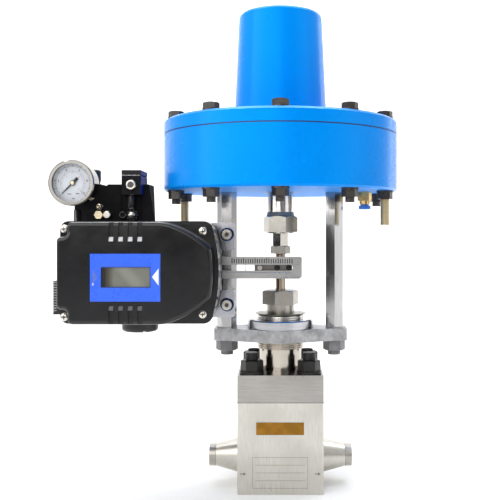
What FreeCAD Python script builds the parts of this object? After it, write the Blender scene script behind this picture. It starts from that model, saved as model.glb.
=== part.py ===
import FreeCAD, Part
import math
import os
import Sketcher
from FreeCAD import Rotation, Vector

# Pneumatic control valve with positioner, in millimetres, +Z up.
# The origin is the centre of the valve body's flat base, on the stem's axis.
# +X is the direction of flow, and -Y is the side with the positioner's display.

os.makedirs("parts", exist_ok=True)
doc = FreeCAD.newDocument("ControlValve")

SIZES = {
    # valve body
    "body_width": 82, "body_height": 87, "body_chamfer": 1.2, "port_height": 26.5,
    "pipe_radius": 10.85, "pipe_bore_radius": 6.15, "pipe_land": 6.5, "weld_root_radius": 17,
    "weld_cone_length": 23, "weld_step": 2, "well_radius": 7.5, "well_drop": 8,
    "chamber_radius": 12.5, "chamber_floor": 46, "seat_radius": 10.5, "seat_height": 10,
    "seat_bore_radius": 5, "seat_chamfer": 1.6, "passage_radius": 5, "passage_start": 41,
    "passage_end": 6, "passage_rise": 33.5, "spigot_radius": 15, "spigot_depth": 8,
    "joint_gasket_thickness": 2,
    # bonnet, packing and gland
    "bonnet_height": 26, "neck_radius": 21.25, "neck_length": 21, "yoke_thread_radius": 22.5,
    "yoke_thread_length": 32.3, "thread_end": 1, "bonnet_bore_radius": 5.3, "packing_radius": 9,
    "packing_rise": 13, "packing_ring_height": 4, "packing_ring_count": 4,
    "follower_height": 9, "gland_thread_radius": 12, "gland_thread_length": 14,
    "gland_disc_radius": 24.8, "gland_disc_foot": 20, "gland_disc_thickness": 2.3, "gland_disc_edge": 0.4,
    "gland_collar_radius": 13.5, "gland_collar_length": 8.4, "gland_across_flats": 32,
    "gland_hex_height": 14.3, "gland_turn": 12.7,
    "stud_offset": 27.5, "stud_radius": 6, "stud_rise_front": 20, "stud_rise_back": 13.5,
    "stud_depth": 21, "washer_radius": 12, "washer_thickness": 2.4, "stud_nut_flats": 19,
    "stud_nut_height": 10.4,
    # yoke
    "yoke_gap": 8, "yoke_thickness": 12, "yoke_half_length": 65.5, "yoke_end_half": 14,
    "yoke_round_radius": 34.5, "yoke_corner": 3, "locknut_radius": 33, "locknut_height": 8.5,
    "locknut_edge": 1, "locknut_notches": 3, "locknut_turn": 60, "locknut_notch_width": 7,
    "locknut_notch_depth": 3.5, "pillar_offset": 53.5, "pillar_flats": 17,
    "pillar_length": 134.5, "pillar_stud_radius": 6, "pillar_nut_height": 10.7,
    "pillar_stud_drop": 15, "pillar_top_stud": 12,
    # actuator
    "case_radius": 115, "case_depth": 54.5, "case_floor": 14, "case_rim_width": 21,
    "case_edge": 2, "hub_radius": 26, "hub_rise": 10, "rim_rubber": 1.2, "cover_height": 12.8,
    "cover_plate": 8, "cover_hole_radius": 39, "barrel_foot_radius": 46,
    "barrel_top_radius": 41, "barrel_height": 108, "barrel_wall": 5, "barrel_crown": 6,
    "barrel_fillet": 5,
    "case_bolt_count": 10, "case_bolt_inset": 10, "case_bolt_radius": 4,
    "case_bolt_flats": 13, "case_bolt_head": 5.6, "case_washer_radius": 8,
    "case_washer_thickness": 1.6, "case_nut_height": 6.6, "case_bolt_reach": 13,
    "long_bolt_reach": 32.9,
    "rod_radius": 13, "rod_stud_radius": 8, "rod_stud_length": 22, "rod_lower_stud": 10,
    "rod_hole_radius": 2.1, "rod_hole_rise": 13, "bush_radius": 17, "bush_flange_radius": 21,
    "bush_flange": 3, "seal_radius": 1.3, "seal_slack": 0.2, "diaphragm_drop": 18,
    "diaphragm_thickness": 2, "diaphragm_slope": 15, "diaphragm_margin": 3,
    "plate_margin": 4, "plate_thickness": 3, "lower_plate_radius": 30,
    "lower_plate_thickness": 3, "plate_nut_flats": 24, "plate_nut_height": 11,
    "spring_radius": 26, "spring_wire": 7, "spring_turns": 6.5, "spring_seat_radius": 32,
    "spring_seat_thickness": 4, "spring_facets": 14,
    "air_port_inset": 11, "air_port_y": -10, "air_thread_radius": 4.9, "air_hex_flats": 12,
    "air_hex_height": 9, "air_neck_radius": 5.2, "air_neck_height": 3.4,
    "ring_radius": 5.9, "ring_height": 3.6, "ring_gap": 1.3, "ring_edge": 0.5,
    "tube_radius": 3.05, "ring_sleeve_radius": 4.1, "ring_sleeve_length": 8,
    # stem
    "stem_radius": 5, "stem_end_gap": 1.9, "plug_radius": 6.5, "plug_nose_radius": 4.7,
    "plug_nose_drop": 8, "plug_gap": 0.12, "plug_shoulder": 4, "stem_edge": 1,
    "stem_nut_rise": 13.2, "stem_nut_height": 7.9, "stem_nut_flats": 17,
    "adapter_flats": 15, "adapter_turn": 30, "adapter_height": 12.2, "adapter_stud_radius": 6,
    "adapter_stud_length": 7, "coupling_flats": 30, "coupling_face": 1.4,
    "coupling_hex": 16, "coupling_taper": 3.9, "coupling_ring_radius": 14, "coupling_turn": 47.6,
    # feedback linkage
    "pivot_reach": 51.5, "lever_rise": 22.8, "lever_gap": 2.5, "lever_thickness": 1.5,
    "lever_half_width": 10.6, "lever_neck_half": 8, "lever_tip": 20.8, "lever_tail": 11,
    "lever_corner": 4, "slot_half_width": 2.8, "slot_start": 27, "slot_end": 12,
    "lever_lip_depth": 3.5, "lever_lip_start": 5, "lever_lip_wall": 1.2,
    "lever_wire_radius": 0.6, "lever_wire_start": 45, "lever_wire_end": 10.5,
    "pin_x": -20, "pin_radius": 2.4, "pin_reach": 1, "pin_depth": 6,
    "clamp_left": -25.5, "clamp_right": 11.5, "clamp_half_height": 7, "clamp_front": -13,
    "clamp_back": 9, "clamp_wall": 3, "clamp_slit": 0.6, "clamp_screw_radius": 2,
    "clamp_screw_head_radius": 2.9, "clamp_screw_head": 2.6, "clamp_screw_left": -3.4,
    "clamp_screw_right": 8.2, "clamp_screw_depth": 6, "clamp_screw_flats": 2.5,
    "clamp_screw_socket": 1.5,
    "shaft_radius": 4, "shaft_inner_end": 27.5, "shaft_nut_flats": 11,
    "shaft_nut_height": 2.6,
    # positioner
    "box_left": 91, "box_right": 45.2, "box_drop": 46.7, "box_rise": 44.6,
    "box_base_depth": 38, "box_cover_depth": 24, "panel_depth": 15, "box_wall": 4,
    "box_corner_right": 9, "box_corner_left": 7.5, "box_swell": 4.8, "box_seal": 0.8,
    "base_inset": 1.6, "base_lip": 3.5,
    "panel_step": 0.8, "panel_left": 0.5, "panel_right": 1, "panel_blend": 30,
    "panel_arc": 95, "panel_tip": 6, "panel_arc_start": 18, "panel_arc_end": 42,
    "panel_tip_end": 81,
    "panel_edge": 3.2, "panel_notch_width": 9.7, "panel_notch_height": 13.1,
    "panel_notch_radius": 5, "panel_corner": 4,
    "cover_screw_left": 4.3, "cover_screw_left_in": 6.5, "cover_screw_right": 9.2,
    "cover_screw_right_in": 8.6, "cover_screw_radius": 2, "cover_screw_head": 3.55,
    "cover_screw_proud": 2.4, "cover_screw_length": 40, "cover_screw_flats": 2.5,
    "cover_screw_socket": 1.5, "boss_radius": 4.6,
    "rib_first": 42.4, "rib_pitch": 8.33, "rib_count": 4, "rib_width": 4.2,
    "rib_depth": 1.6, "rib_length": 18,
    "label_left": 60.9, "label_right": 0.5, "label_drop": 25.7, "label_rise": 16.1,
    "label_thickness": 0.8, "label_gap": 0.1, "screen_left": 51.1, "screen_right": 8.5,
    "screen_drop": 13.2, "screen_rise": 4.3, "screen_depth": 2.6, "screen_recess": 1.0,
    "screen_gap": 0.2, "board_setback": 27, "board_thickness": 1.6, "board_left": 12,
    "board_right": 14.5, "board_low": 14.6, "board_high": 12.7, "post_inset": 6,
    "post_radius": 3, "sensor_radius": 12, "sensor_length": 10, "pilot_gap": 12,
    "pilot_width": 30, "pilot_height": 42, "pilot_length": 20, "nozzle_radius": 5,
    "nozzle_length": 2,
    "cable_plug_x": 27.9, "cable_plug_setback": 17.2, "cable_plug_radius": 17,
    "cable_plug_length": 13.6, "cable_plug_edge": 3, "cable_plug_slot": 3,
    "cable_plug_slot_depth": 1.8, "cable_plug_turn": 26, "side_cover_drop": 26.4,
    "side_cover_height": 31, "side_cover_depth": 24, "side_cover_length": 17,
    "side_cover_ribs": 13, "side_cover_groove": 0.9,
    "ground_screw_drop": 4.8, "ground_screw_flats": 7, "ground_screw_length": 15,
    "ground_shank_radius": 2, "ground_head": 4,
    # bracket
    "bracket_thickness": 5, "bracket_left": 45, "bracket_drop": 49.1, "bracket_rise": 43.9,
    "window_left": 11.5, "window_drop": 22.1, "window_rise": 16.9, "bracket_corner": 2.5,
    "spacer_radius": 7, "spacer_length": 9.5, "spacer_left": 35, "spacer_right": 29,
    "spacer_low": 38.1, "spacer_high": 34.9, "spacer_screw_radius": 3,
    "spacer_screw_flats": 10, "spacer_screw_head": 4,
    "bracket_screw_shift": 1.1, "bracket_screw_rise": 32.4, "bracket_screw_drop": 36.5,
    "bracket_screw_radius": 3, "bracket_screw_head": 4.9, "bracket_screw_height": 6,
    "bracket_screw_flats": 4, "bracket_screw_socket": 3, "bracket_washer_radius": 6.6,
    "bracket_washer": 1.4, "bracket_screw_depth": 9,
    # air supply, with depths from the stem and heights from the casting's foot
    "reg_left": 93.5, "reg_right": 15.5, "reg_height": 36.8, "reg_front": 28, "reg_back": 30,
    "reg_taper": 6.5, "reg_back_taper": 12, "reg_edge": 4, "reg_corner_radius": 3,
    "reg_pad_right": 48.5, "reg_rib_depth": 1.5, "reg_rib_width": 7,
    "reg_rib_shift": 36.5, "reg_notch_left": 67.8, "reg_notch_right": 63, "reg_notch_drop": 1.8,
    "reg_axis": 85, "reg_axis_y": 2, "reg_dome_radius": 9.2, "reg_dome_height": 5,
    "knob_radius": 10, "knob_height": 11.2, "knob_edge": 1.5, "knob_flutes": 14,
    "knob_flute_radius": 0.9,
    "bowl_radius": 19, "bowl_length": 61, "bowl_end": 12,
    "block_left": 45.3, "block_right": 27.3, "block_foot": 26.4, "block_height": 17.9,
    "block_depth": 14, "block_reach": 22, "block_cap": 5.2, "block_groove": 0.7,
    "block_screw_radius": 4.8,
    "block_screw_proud": 2, "block_screw_edge": 0.6, "stub_radius": 2.6, "stub_setback": 5,
    "port_rise": 7.3, "brass_port": 69.2, "steel_port": 61, "dark_port": 46.2,
    "plug_port": 37.2, "brass_flats": 7.4, "brass_length": 6, "steel_plug_radius": 3.6,
    "steel_plug_length": 7, "port_boss_radius": 5.8, "port_boss_length": 4,
    "port_plug_radius": 3.4, "port_plug_length": 3, "breather_rise": 8.2, "breather_radius": 2.6,
    "breather_length": 3,
    "gauge_shift": 85.2, "gauge_rise": 35.7, "gauge_reach": 18, "gauge_radius": 21,
    "gauge_depth": 25, "gauge_rim": 3, "gauge_wall": 1.5, "gauge_back_edge": 2,
    "dial_depth": 4, "dial_thickness": 0.8, "glass_thickness": 1.5, "glass_setback": 1,
    "pointer_length": 14, "pointer_tail": 6.5, "pointer_width": 1.3, "pointer_thickness": 0.6,
    "pointer_angle": 225, "pointer_hub": 2.4, "pointer_hub_proud": 0.6, "gauge_stem": 5,
    "gauge_stem_drop": 14, "gauge_stem_depth": 6, "spindle_radius": 1.2, "dial_hole": 1.3,
    # clearances
    "running_gap": 0.05, "thread_gap": 0.1, "loose_gap": 0.3, "hole_gap": 0.5,
    "cut_margin": 1,
}


class Size:
    """A length that knows the formula it came from, so that features can be bound to the sheet."""

    def __init__(self, value, formula):
        self.value = float(value)
        self.formula = formula

    @staticmethod
    def of(other):
        if isinstance(other, Size):
            return other
        return Size(other, f"{float(other):g}" if other >= 0 else f"({float(other):g})")

    def __add__(self, other):
        other = Size.of(other)
        return Size(self.value + other.value, f"({self.formula} + {other.formula})")

    def __sub__(self, other):
        other = Size.of(other)
        return Size(self.value - other.value, f"({self.formula} - {other.formula})")

    def __mul__(self, other):
        other = Size.of(other)
        return Size(self.value * other.value, f"({self.formula} * {other.formula})")

    def __truediv__(self, other):
        other = Size.of(other)
        return Size(self.value / other.value, f"({self.formula} / {other.formula})")

    def __radd__(self, other):
        return Size.of(other) + self

    def __rsub__(self, other):
        return Size.of(other) - self

    def __rmul__(self, other):
        return Size.of(other) * self

    def __neg__(self):
        return Size(-self.value, f"(-{self.formula})")


class Sheet:
    """The driving sizes, as cells with aliases and as attributes."""

    def __init__(self, sizes):
        cells = doc.addObject("Spreadsheet::Sheet", "Sizes")
        for row, (name, number) in enumerate(sizes.items(), start=1):
            cells.set(f"A{row}", name)
            cells.set(f"B{row}", str(number))
            cells.setAlias(f"B{row}", name)
            setattr(self, name, Size(number, f"Sizes.{name}"))
        doc.recompute()


D = Sheet(SIZES)
UP = Rotation()
DOWN = Rotation(Vector(1, 0, 0), 180)
FRONT = Rotation(Vector(1, 0, 0), 90)
BACK = Rotation(Vector(1, 0, 0), -90)
RIGHT = Rotation(Vector(0, 1, 0), 90)
LEFT = Rotation(Vector(0, 1, 0), -90)
ORIGIN = (0, 0, 0)
HEX_RATIO = 1 / math.sqrt(3)
nodes = {}


def turn(angle):
    """A rotation about the vertical, in degrees."""
    return Rotation(Vector(0, 0, 1), angle)


def bind(thing, name, size):
    """Ties a property to the formula of a size."""
    thing.setExpression(name, Size.of(size).formula)


def place(thing, at, facing=UP):
    """Puts a piece at a bound position, with its own +Z turned to the way it faces."""
    thing.Placement = FreeCAD.Placement(Vector(*[Size.of(c).value for c in at]), facing)
    for axis, coordinate in zip("xyz", at):
        bind(thing, f".Placement.Base.{axis}", coordinate)
    return thing


def node(label, thing):
    """Names a finished piece."""
    thing.Label = label
    nodes[label] = thing
    return thing


def cylinder(radius, length, at=ORIGIN, facing=UP):
    piece = doc.addObject("Part::Cylinder", "Cylinder")
    bind(piece, "Radius", radius)
    bind(piece, "Height", length)
    return place(piece, at, facing)


def cone(foot, tip, length, at=ORIGIN, facing=UP):
    piece = doc.addObject("Part::Cone", "Cone")
    bind(piece, "Radius1", foot)
    bind(piece, "Radius2", tip)
    bind(piece, "Height", length)
    return place(piece, at, facing)


def hexagon(flats, length, at=ORIGIN, facing=UP):
    """A hexagonal prism of a width across flats, with its flats towards its own +-Y."""
    piece = doc.addObject("Part::Prism", "Hexagon")
    piece.Polygon = 6
    bind(piece, "Circumradius", flats * HEX_RATIO)
    bind(piece, "Height", length)
    return place(piece, at, facing)


def box(low, high):
    """A box between two corners."""
    piece = doc.addObject("Part::Box", "Box")
    for name, start, end in zip(("Length", "Width", "Height"), low, high):
        bind(piece, name, Size.of(end) - start)
    return place(piece, low)


def fuse(*pieces):
    joined = doc.addObject("Part::MultiFuse", "Fuse")
    joined.Shapes = list(pieces)
    return joined


def cut(base, *tools):
    """The base less its tools."""
    rest = doc.addObject("Part::Cut", "Cut")
    rest.Base = base
    rest.Tool = tools[0] if len(tools) == 1 else fuse(*tools)
    return rest


def common(*pieces):
    shared = doc.addObject("Part::MultiCommon", "Common")
    shared.Shapes = list(pieces)
    return shared


def group(pieces):
    """Several separate solids as one piece."""
    together = doc.addObject("Part::Compound", "Group")
    together.Links = list(pieces)
    return together


def ring(radius, bore, length, at=ORIGIN, facing=UP):
    """A plain ring or washer."""
    return turned([(bore, 0), (radius, 0), (radius, length), (bore, length)], at, facing)


def new_sketch(body, role, lift=0):
    """A sketch on one of the body's own origin planes, lifted off it along the plane's normal."""
    plane = [feature for feature in body.Origin.OriginFeatures if feature.Role == role][0]
    sketch = body.newObject("Sketcher::SketchObject", "Sketch")
    sketch.AttachmentSupport = [(plane, "")]
    sketch.MapMode = "FlatFace"
    bind(sketch, ".AttachmentOffset.Base.z", lift)
    return sketch


def arc_middle(start, end, radius):
    """The middle of the shorter arc between two points; a positive radius bulges to the right."""
    chord = Vector(end[0] - start[0], end[1] - start[1], 0)
    half = chord.Length / 2
    rise = abs(radius) - math.sqrt(max(radius * radius - half * half, 0))
    side = Vector(chord.y, -chord.x, 0).normalize() * math.copysign(rise, radius)
    return Vector(start[0], start[1], 0) + chord / 2 + side


def draw(sketch, corners):
    """A closed outline. A third number on a corner is the radius of the arc that leads to it."""
    points = [[Size.of(value) for value in corner] for corner in corners]
    flat = [[size.value for size in point] for point in points]
    first = sketch.GeometryCount
    count = len(points)
    for index in range(count):
        start = flat[index]
        end = flat[(index + 1) % count]
        foot = Vector(start[0], start[1], 0)
        head = Vector(end[0], end[1], 0)
        if len(end) == 2:
            sketch.addGeometry(Part.LineSegment(foot, head), False)
        else:
            sketch.addGeometry(Part.Arc(foot, arc_middle(start, end, end[2]), head), False)
    ends = [(1, 2)] * count
    for index in range(count):
        if len(flat[(index + 1) % count]) == 3 and flat[(index + 1) % count][2] < 0:
            ends[index] = (2, 1)
    for index in range(count):
        following = (index + 1) % count
        here = first + index
        there = first + following
        sketch.addConstraint(Sketcher.Constraint("Coincident", here, ends[index][1],
                                                 there, ends[following][0]))
        for kind, size in zip(("DistanceX", "DistanceY"), points[index]):
            number = sketch.addConstraint(
                Sketcher.Constraint(kind, -1, 1, here, ends[index][0], size.value))
            sketch.setExpression(f"Constraints[{number}]", size.formula)
        if len(points[following]) == 3:
            radius = points[following][2]
            if radius.value < 0:
                radius = -radius
            number = sketch.addConstraint(Sketcher.Constraint("Radius", here, radius.value))
            sketch.setExpression(f"Constraints[{number}]", radius.formula)


def draw_circle(sketch, across, up, radius):
    across, up, radius = Size.of(across), Size.of(up), Size.of(radius)
    centre = Vector(across.value, up.value, 0)
    number = sketch.addGeometry(Part.Circle(centre, Vector(0, 0, 1), radius.value), False)
    bound = (("DistanceX", across), ("DistanceY", up))
    for kind, size in bound:
        index = sketch.addConstraint(Sketcher.Constraint(kind, -1, 1, number, 3, size.value))
        sketch.setExpression(f"Constraints[{index}]", size.formula)
    index = sketch.addConstraint(Sketcher.Constraint("Radius", number, radius.value))
    sketch.setExpression(f"Constraints[{index}]", radius.formula)


def turned(outline, at=ORIGIN, facing=UP):
    """A piece turned about its own +Z from an outline of radii and heights."""
    body = doc.addObject("PartDesign::Body", "Turned")
    sketch = new_sketch(body, "XZ_Plane")
    draw(sketch, outline)
    doc.recompute()
    revolution = body.newObject("PartDesign::Revolution", "Revolution")
    revolution.Profile = sketch
    revolution.ReferenceAxis = (sketch, ["V_Axis"])
    revolution.Angle = 360
    return place(body, at, facing)


def plate(outline, length, at=ORIGIN, facing=UP, holes=(), cutouts=()):
    """A flat piece padded along its own +Z, with round holes and cut-outs through it."""
    body = doc.addObject("PartDesign::Body", "Plate")
    sketch = new_sketch(body, "XY_Plane")
    draw(sketch, outline)
    for hole in holes:
        draw_circle(sketch, *hole)
    for cutout in cutouts:
        draw(sketch, cutout)
    doc.recompute()
    pad = body.newObject("PartDesign::Pad", "Pad")
    pad.Profile = sketch
    bind(pad, "Length", length)
    return place(body, at, facing)


def repeated(body, features, count, angle=360):
    """Repeats features round the body's own +Z."""
    axis = [feature for feature in body.Origin.OriginFeatures if feature.Role == "Z_Axis"][0]
    doc.recompute()
    pattern = body.newObject("PartDesign::PolarPattern", "Pattern")
    pattern.Originals = features
    pattern.Axis = (axis, [""])
    pattern.Angle = angle
    bind(pattern, "Occurrences", count)
    body.Tip = pattern
    return body


def filleted(base, radius, wanted):
    """Rounds the edges of a piece that a test picks out."""
    doc.recompute()
    edges = base.Shape.Edges
    picked = [index for index, edge in enumerate(edges, start=1) if wanted(edge)]
    rounded = doc.addObject("Part::Fillet", "Fillet")
    rounded.Base = base
    rounded.Edges = [(index, Size.of(radius).value, Size.of(radius).value) for index in picked]
    return rounded


def near(value, target, slack=0.05):
    return abs(value - Size.of(target).value) < slack


def rectangle(left, bottom, right, top):
    return [(left, bottom), (right, bottom), (right, top), (left, top)]


def square(half, corner):
    """A square outline with cut corners."""
    inner = half - corner
    return [(inner, -half), (half, -inner), (half, inner), (inner, half),
            (-inner, half), (-half, inner), (-half, -inner), (-inner, -half)]


def corners(offset):
    """The four corners of a square round the axis, the front pair first."""
    return [(-offset, -offset), (offset, -offset), (-offset, offset), (offset, offset)]


# Levels and places that follow from the sizes, from the body's foot upwards

half_body = D.body_width / 2
bonnet_bottom = D.body_height
bonnet_top = bonnet_bottom + D.bonnet_height
neck_top = bonnet_top + D.neck_length
gland_seat = neck_top + D.yoke_thread_length
disc_top = gland_seat + D.gland_disc_thickness
gland_hex_bottom = disc_top + D.gland_collar_length
gland_top = gland_hex_bottom + D.gland_hex_height
chamber_roof = bonnet_bottom - D.spigot_depth - D.joint_gasket_thickness
seat_floor = D.chamber_floor - D.seat_height
stud_bottom = bonnet_bottom - D.stud_depth
packing_floor = bonnet_top + D.packing_rise
yoke_bottom = neck_top + D.yoke_gap
yoke_top = yoke_bottom + D.yoke_thickness
case_bottom = yoke_top + D.pillar_length
case_parting = case_bottom + D.case_depth
cover_bottom = case_parting + D.rim_rubber
cover_top = cover_bottom + D.cover_height
cover_inside = cover_top - D.cover_plate
barrel_top = cover_top + D.barrel_height
hub_top = case_bottom + D.case_floor + D.hub_rise
cavity_radius = D.case_radius - D.case_rim_width
bolt_circle = D.case_radius - D.case_bolt_inset
diaphragm_level = case_parting - D.diaphragm_drop
diaphragm_top = diaphragm_level + D.diaphragm_thickness
diaphragm_wall = cavity_radius - D.diaphragm_margin
diaphragm_flat = diaphragm_wall - D.diaphragm_slope
rod_shoulder = diaphragm_level - D.lower_plate_thickness
air_port_x = cavity_radius - D.air_port_inset
neck_bottom = case_bottom - D.air_hex_height - D.air_neck_height
lever_level = gland_top + D.lever_rise
stem_nut_bottom = lever_level + D.stem_nut_rise
adapter_bottom = stem_nut_bottom + D.stem_nut_height
coupling_bottom = adapter_bottom + D.adapter_height
rod_bottom = coupling_bottom + D.coupling_face + D.coupling_hex + D.coupling_taper
stem_top = coupling_bottom - D.stem_end_gap
pivot_x = -D.pillar_offset - D.pivot_reach
bracket_back = -D.pillar_flats / 2
bracket_front = bracket_back - D.bracket_thickness
box_back = bracket_front - D.spacer_length
box_seam = box_back - D.box_base_depth
flange_face = box_seam - D.box_cover_depth
panel_face = flange_face - D.panel_depth
box_left = pivot_x - D.box_left
box_right = pivot_x + D.box_right
box_bottom = lever_level - D.box_drop
box_top = lever_level + D.box_rise
box_middle_y = (box_back + box_seam) / 2
lever_front = box_back + D.lever_gap
lever_back = lever_front + D.lever_thickness
reg_bottom = lever_level + D.bracket_rise
reg_top = reg_bottom + D.reg_height
reg_left = pivot_x - D.reg_left
reg_right = pivot_x - D.reg_right
gauge_x = pivot_x - D.gauge_shift
gauge_level = reg_bottom + D.gauge_rise
gauge_back = -D.reg_front - D.gauge_reach
gauge_front = gauge_back - D.gauge_depth


# Valve body, seat and bonnet

def weld_end(facing):
    """A tapered weld end that stands out of the body's side, turned about the pipe's axis."""
    cone_start = half_body - D.weld_step
    cone_end = half_body + D.weld_cone_length
    return turned([(0, cone_start), (D.weld_root_radius, cone_start),
                   (D.weld_root_radius, half_body), (D.pipe_radius, cone_end),
                   (D.pipe_radius, cone_end + D.pipe_land), (0, cone_end + D.pipe_land)],
                  (0, 0, D.port_height), facing)


def make_body_block():
    """The forged block: pipe bores, an inclined passage from the seat, chamber and stud holes."""
    forging = plate(square(half_body, D.body_chamfer), D.body_height)
    blank = fuse(forging, weld_end(LEFT), weld_end(RIGHT))
    reach = half_body + D.weld_cone_length + D.pipe_land
    bore_length = reach - D.passage_start + D.cut_margin
    inlet = cylinder(D.pipe_bore_radius, bore_length,
                     (-reach - D.cut_margin, 0, D.port_height), RIGHT)
    inlet_passage = cylinder(D.passage_radius, D.passage_start + D.cut_margin,
                             (-D.passage_start - D.cut_margin, 0, D.port_height), RIGHT)
    outlet = cylinder(D.pipe_bore_radius, bore_length,
                      (D.passage_start, 0, D.port_height), RIGHT)
    riser_shift = D.passage_end - D.passage_start
    length = math.hypot(riser_shift.value, D.passage_rise.value)
    lean = math.degrees(math.atan2(riser_shift.value, D.passage_rise.value))
    riser = cylinder(D.passage_radius, length, (D.passage_start, 0, D.port_height),
                     Rotation(Vector(0, 1, 0), lean))
    well_floor = D.port_height - D.well_drop
    seat_bore = D.seat_radius + D.thread_gap
    well = turned([(0, well_floor), (D.well_radius, well_floor), (D.well_radius, seat_floor),
                   (seat_bore, seat_floor), (seat_bore, D.chamber_floor),
                   (D.chamber_radius, D.chamber_floor), (D.chamber_radius, chamber_roof),
                   (D.spigot_radius, chamber_roof),
                   (D.spigot_radius, bonnet_bottom + D.cut_margin),
                   (0, bonnet_bottom + D.cut_margin)])
    studs = [cylinder(D.stud_radius + D.thread_gap, D.stud_depth + D.cut_margin,
                      (x, y, stud_bottom)) for x, y in corners(D.stud_offset)]
    node("body_block", cut(blank, inlet, inlet_passage, outlet, riser, well, *studs))


def make_seat_ring():
    lip = D.seat_bore_radius + D.seat_chamfer
    node("seat_ring", turned([(D.seat_bore_radius, seat_floor), (D.seat_radius, seat_floor),
                              (D.seat_radius, D.chamber_floor), (lip, D.chamber_floor),
                              (D.seat_bore_radius, D.chamber_floor - D.seat_chamfer)]))


def make_bonnet_gasket():
    node("bonnet_gasket", ring(D.spigot_radius - D.thread_gap, D.chamber_radius - D.cut_margin,
                               D.joint_gasket_thickness, (0, 0, chamber_roof)))


def make_bonnet():
    """The square bonnet with its spigot below, its neck and the thread for the yoke above."""
    margin = D.cut_margin
    edge = D.thread_end
    block = plate(square(half_body, D.body_chamfer), D.bonnet_height, (0, 0, bonnet_bottom))
    spigot = cylinder(D.spigot_radius - D.thread_gap, D.spigot_depth + margin,
                      (0, 0, bonnet_bottom - D.spigot_depth))
    neck = cylinder(D.neck_radius, D.neck_length + margin, (0, 0, bonnet_top - margin))
    thread = turned([(0, neck_top), (D.yoke_thread_radius - edge, neck_top),
                     (D.yoke_thread_radius, neck_top + edge),
                     (D.yoke_thread_radius, gland_seat - edge),
                     (D.yoke_thread_radius - edge, gland_seat), (0, gland_seat)])
    gland_floor = gland_seat - D.gland_thread_length - margin
    thread_bore = D.gland_thread_radius + D.thread_gap
    foot = bonnet_bottom - D.spigot_depth - margin
    bore = turned([(0, foot), (D.bonnet_bore_radius, foot),
                   (D.bonnet_bore_radius, packing_floor), (D.packing_radius, packing_floor),
                   (D.packing_radius, gland_floor), (thread_bore, gland_floor),
                   (thread_bore, gland_seat + margin), (0, gland_seat + margin)])
    studs = [cylinder(D.stud_radius + D.hole_gap, D.bonnet_height + 2 * margin,
                      (x, y, bonnet_bottom - margin)) for x, y in corners(D.stud_offset)]
    node("bonnet", cut(fuse(block, spigot, neck, thread), bore, *studs))


def chamfer_cap(flats, height, at, facing=UP):
    """The turned form that takes the corners off the free face of a nut or a bolt head."""
    rim = flats * (HEX_RATIO + 0.01)
    inset = flats * 0.48
    drop = (rim - inset) * 0.55
    return turned([(0, 0), (rim, 0), (rim, height - drop), (inset, height), (0, height)],
                  at, facing)


def nut(flats, height, bore, at, facing=UP, chamfered=True):
    """A hexagon nut with a clear bore."""
    x, y, z = at
    margin = D.cut_margin
    back = -margin if facing is UP else margin
    body = hexagon(flats, height, at, facing)
    if chamfered:
        body = common(body, chamfer_cap(flats, height, at, facing))
    return cut(body, cylinder(bore, height + 2 * margin, (x, y, z + back), facing))


def make_bonnet_fasteners():
    """Studs screwed into the body, with a washer and a nut on each."""
    washers = []
    nuts = []
    studs = []
    rises = [D.stud_rise_front, D.stud_rise_front, D.stud_rise_back, D.stud_rise_back]
    nut_bottom = bonnet_top + D.washer_thickness
    for (x, y), rise in zip(corners(D.stud_offset), rises):
        washers.append(ring(D.washer_radius, D.stud_radius + D.loose_gap, D.washer_thickness,
                            (x, y, bonnet_top)))
        nuts.append(nut(D.stud_nut_flats, D.stud_nut_height, D.stud_radius + D.thread_gap,
                        (x, y, nut_bottom)))
        studs.append(cylinder(D.stud_radius, bonnet_top + rise - stud_bottom,
                              (x, y, stud_bottom)))
    node("bonnet_nuts", group(nuts + washers))
    node("bonnet_studs", group(studs))


def make_packing():
    """Stem packing: a stack of rings under a follower."""
    bore = D.stem_radius + D.running_gap
    outer = D.packing_radius - D.running_gap
    count = int(D.packing_ring_count.value)
    rings = [ring(outer, bore, D.packing_ring_height,
                  (0, 0, packing_floor + D.packing_ring_height * index))
             for index in range(count)]
    follower_bottom = packing_floor + D.packing_ring_height * count
    follower = ring(outer, D.stem_radius + D.loose_gap, D.follower_height,
                    (0, 0, follower_bottom))
    node("stem_packing", group(rings + [follower]))


def make_gland():
    """The packing nut: thread, collar and chamfered hexagon, with a disc clamped under it."""
    at_hex = (0, 0, gland_hex_bottom)
    head = common(hexagon(D.gland_across_flats, D.gland_hex_height, at_hex,
                          turn(D.gland_turn.value)),
                  chamfer_cap(D.gland_across_flats, D.gland_hex_height, at_hex))
    thread_bottom = gland_seat - D.gland_thread_length
    shank = turned([(0, thread_bottom), (D.gland_thread_radius, thread_bottom),
                    (D.gland_thread_radius, disc_top), (D.gland_collar_radius, disc_top),
                    (D.gland_collar_radius, gland_hex_bottom), (0, gland_hex_bottom)])
    bore = cylinder(D.stem_radius + D.loose_gap, gland_top - thread_bottom + 2 * D.cut_margin,
                    (0, 0, thread_bottom - D.cut_margin))
    node("gland_nut", cut(fuse(head, shank), bore))
    inner = D.gland_thread_radius + D.loose_gap
    edge = D.gland_disc_edge
    node("gland_disc", turned([(inner, gland_seat), (D.gland_disc_foot, gland_seat),
                               (D.gland_disc_radius, disc_top - 2 * edge),
                               (D.gland_disc_radius, disc_top - edge),
                               (D.gland_disc_radius - edge, disc_top), (inner, disc_top)]))


# Yoke

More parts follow.
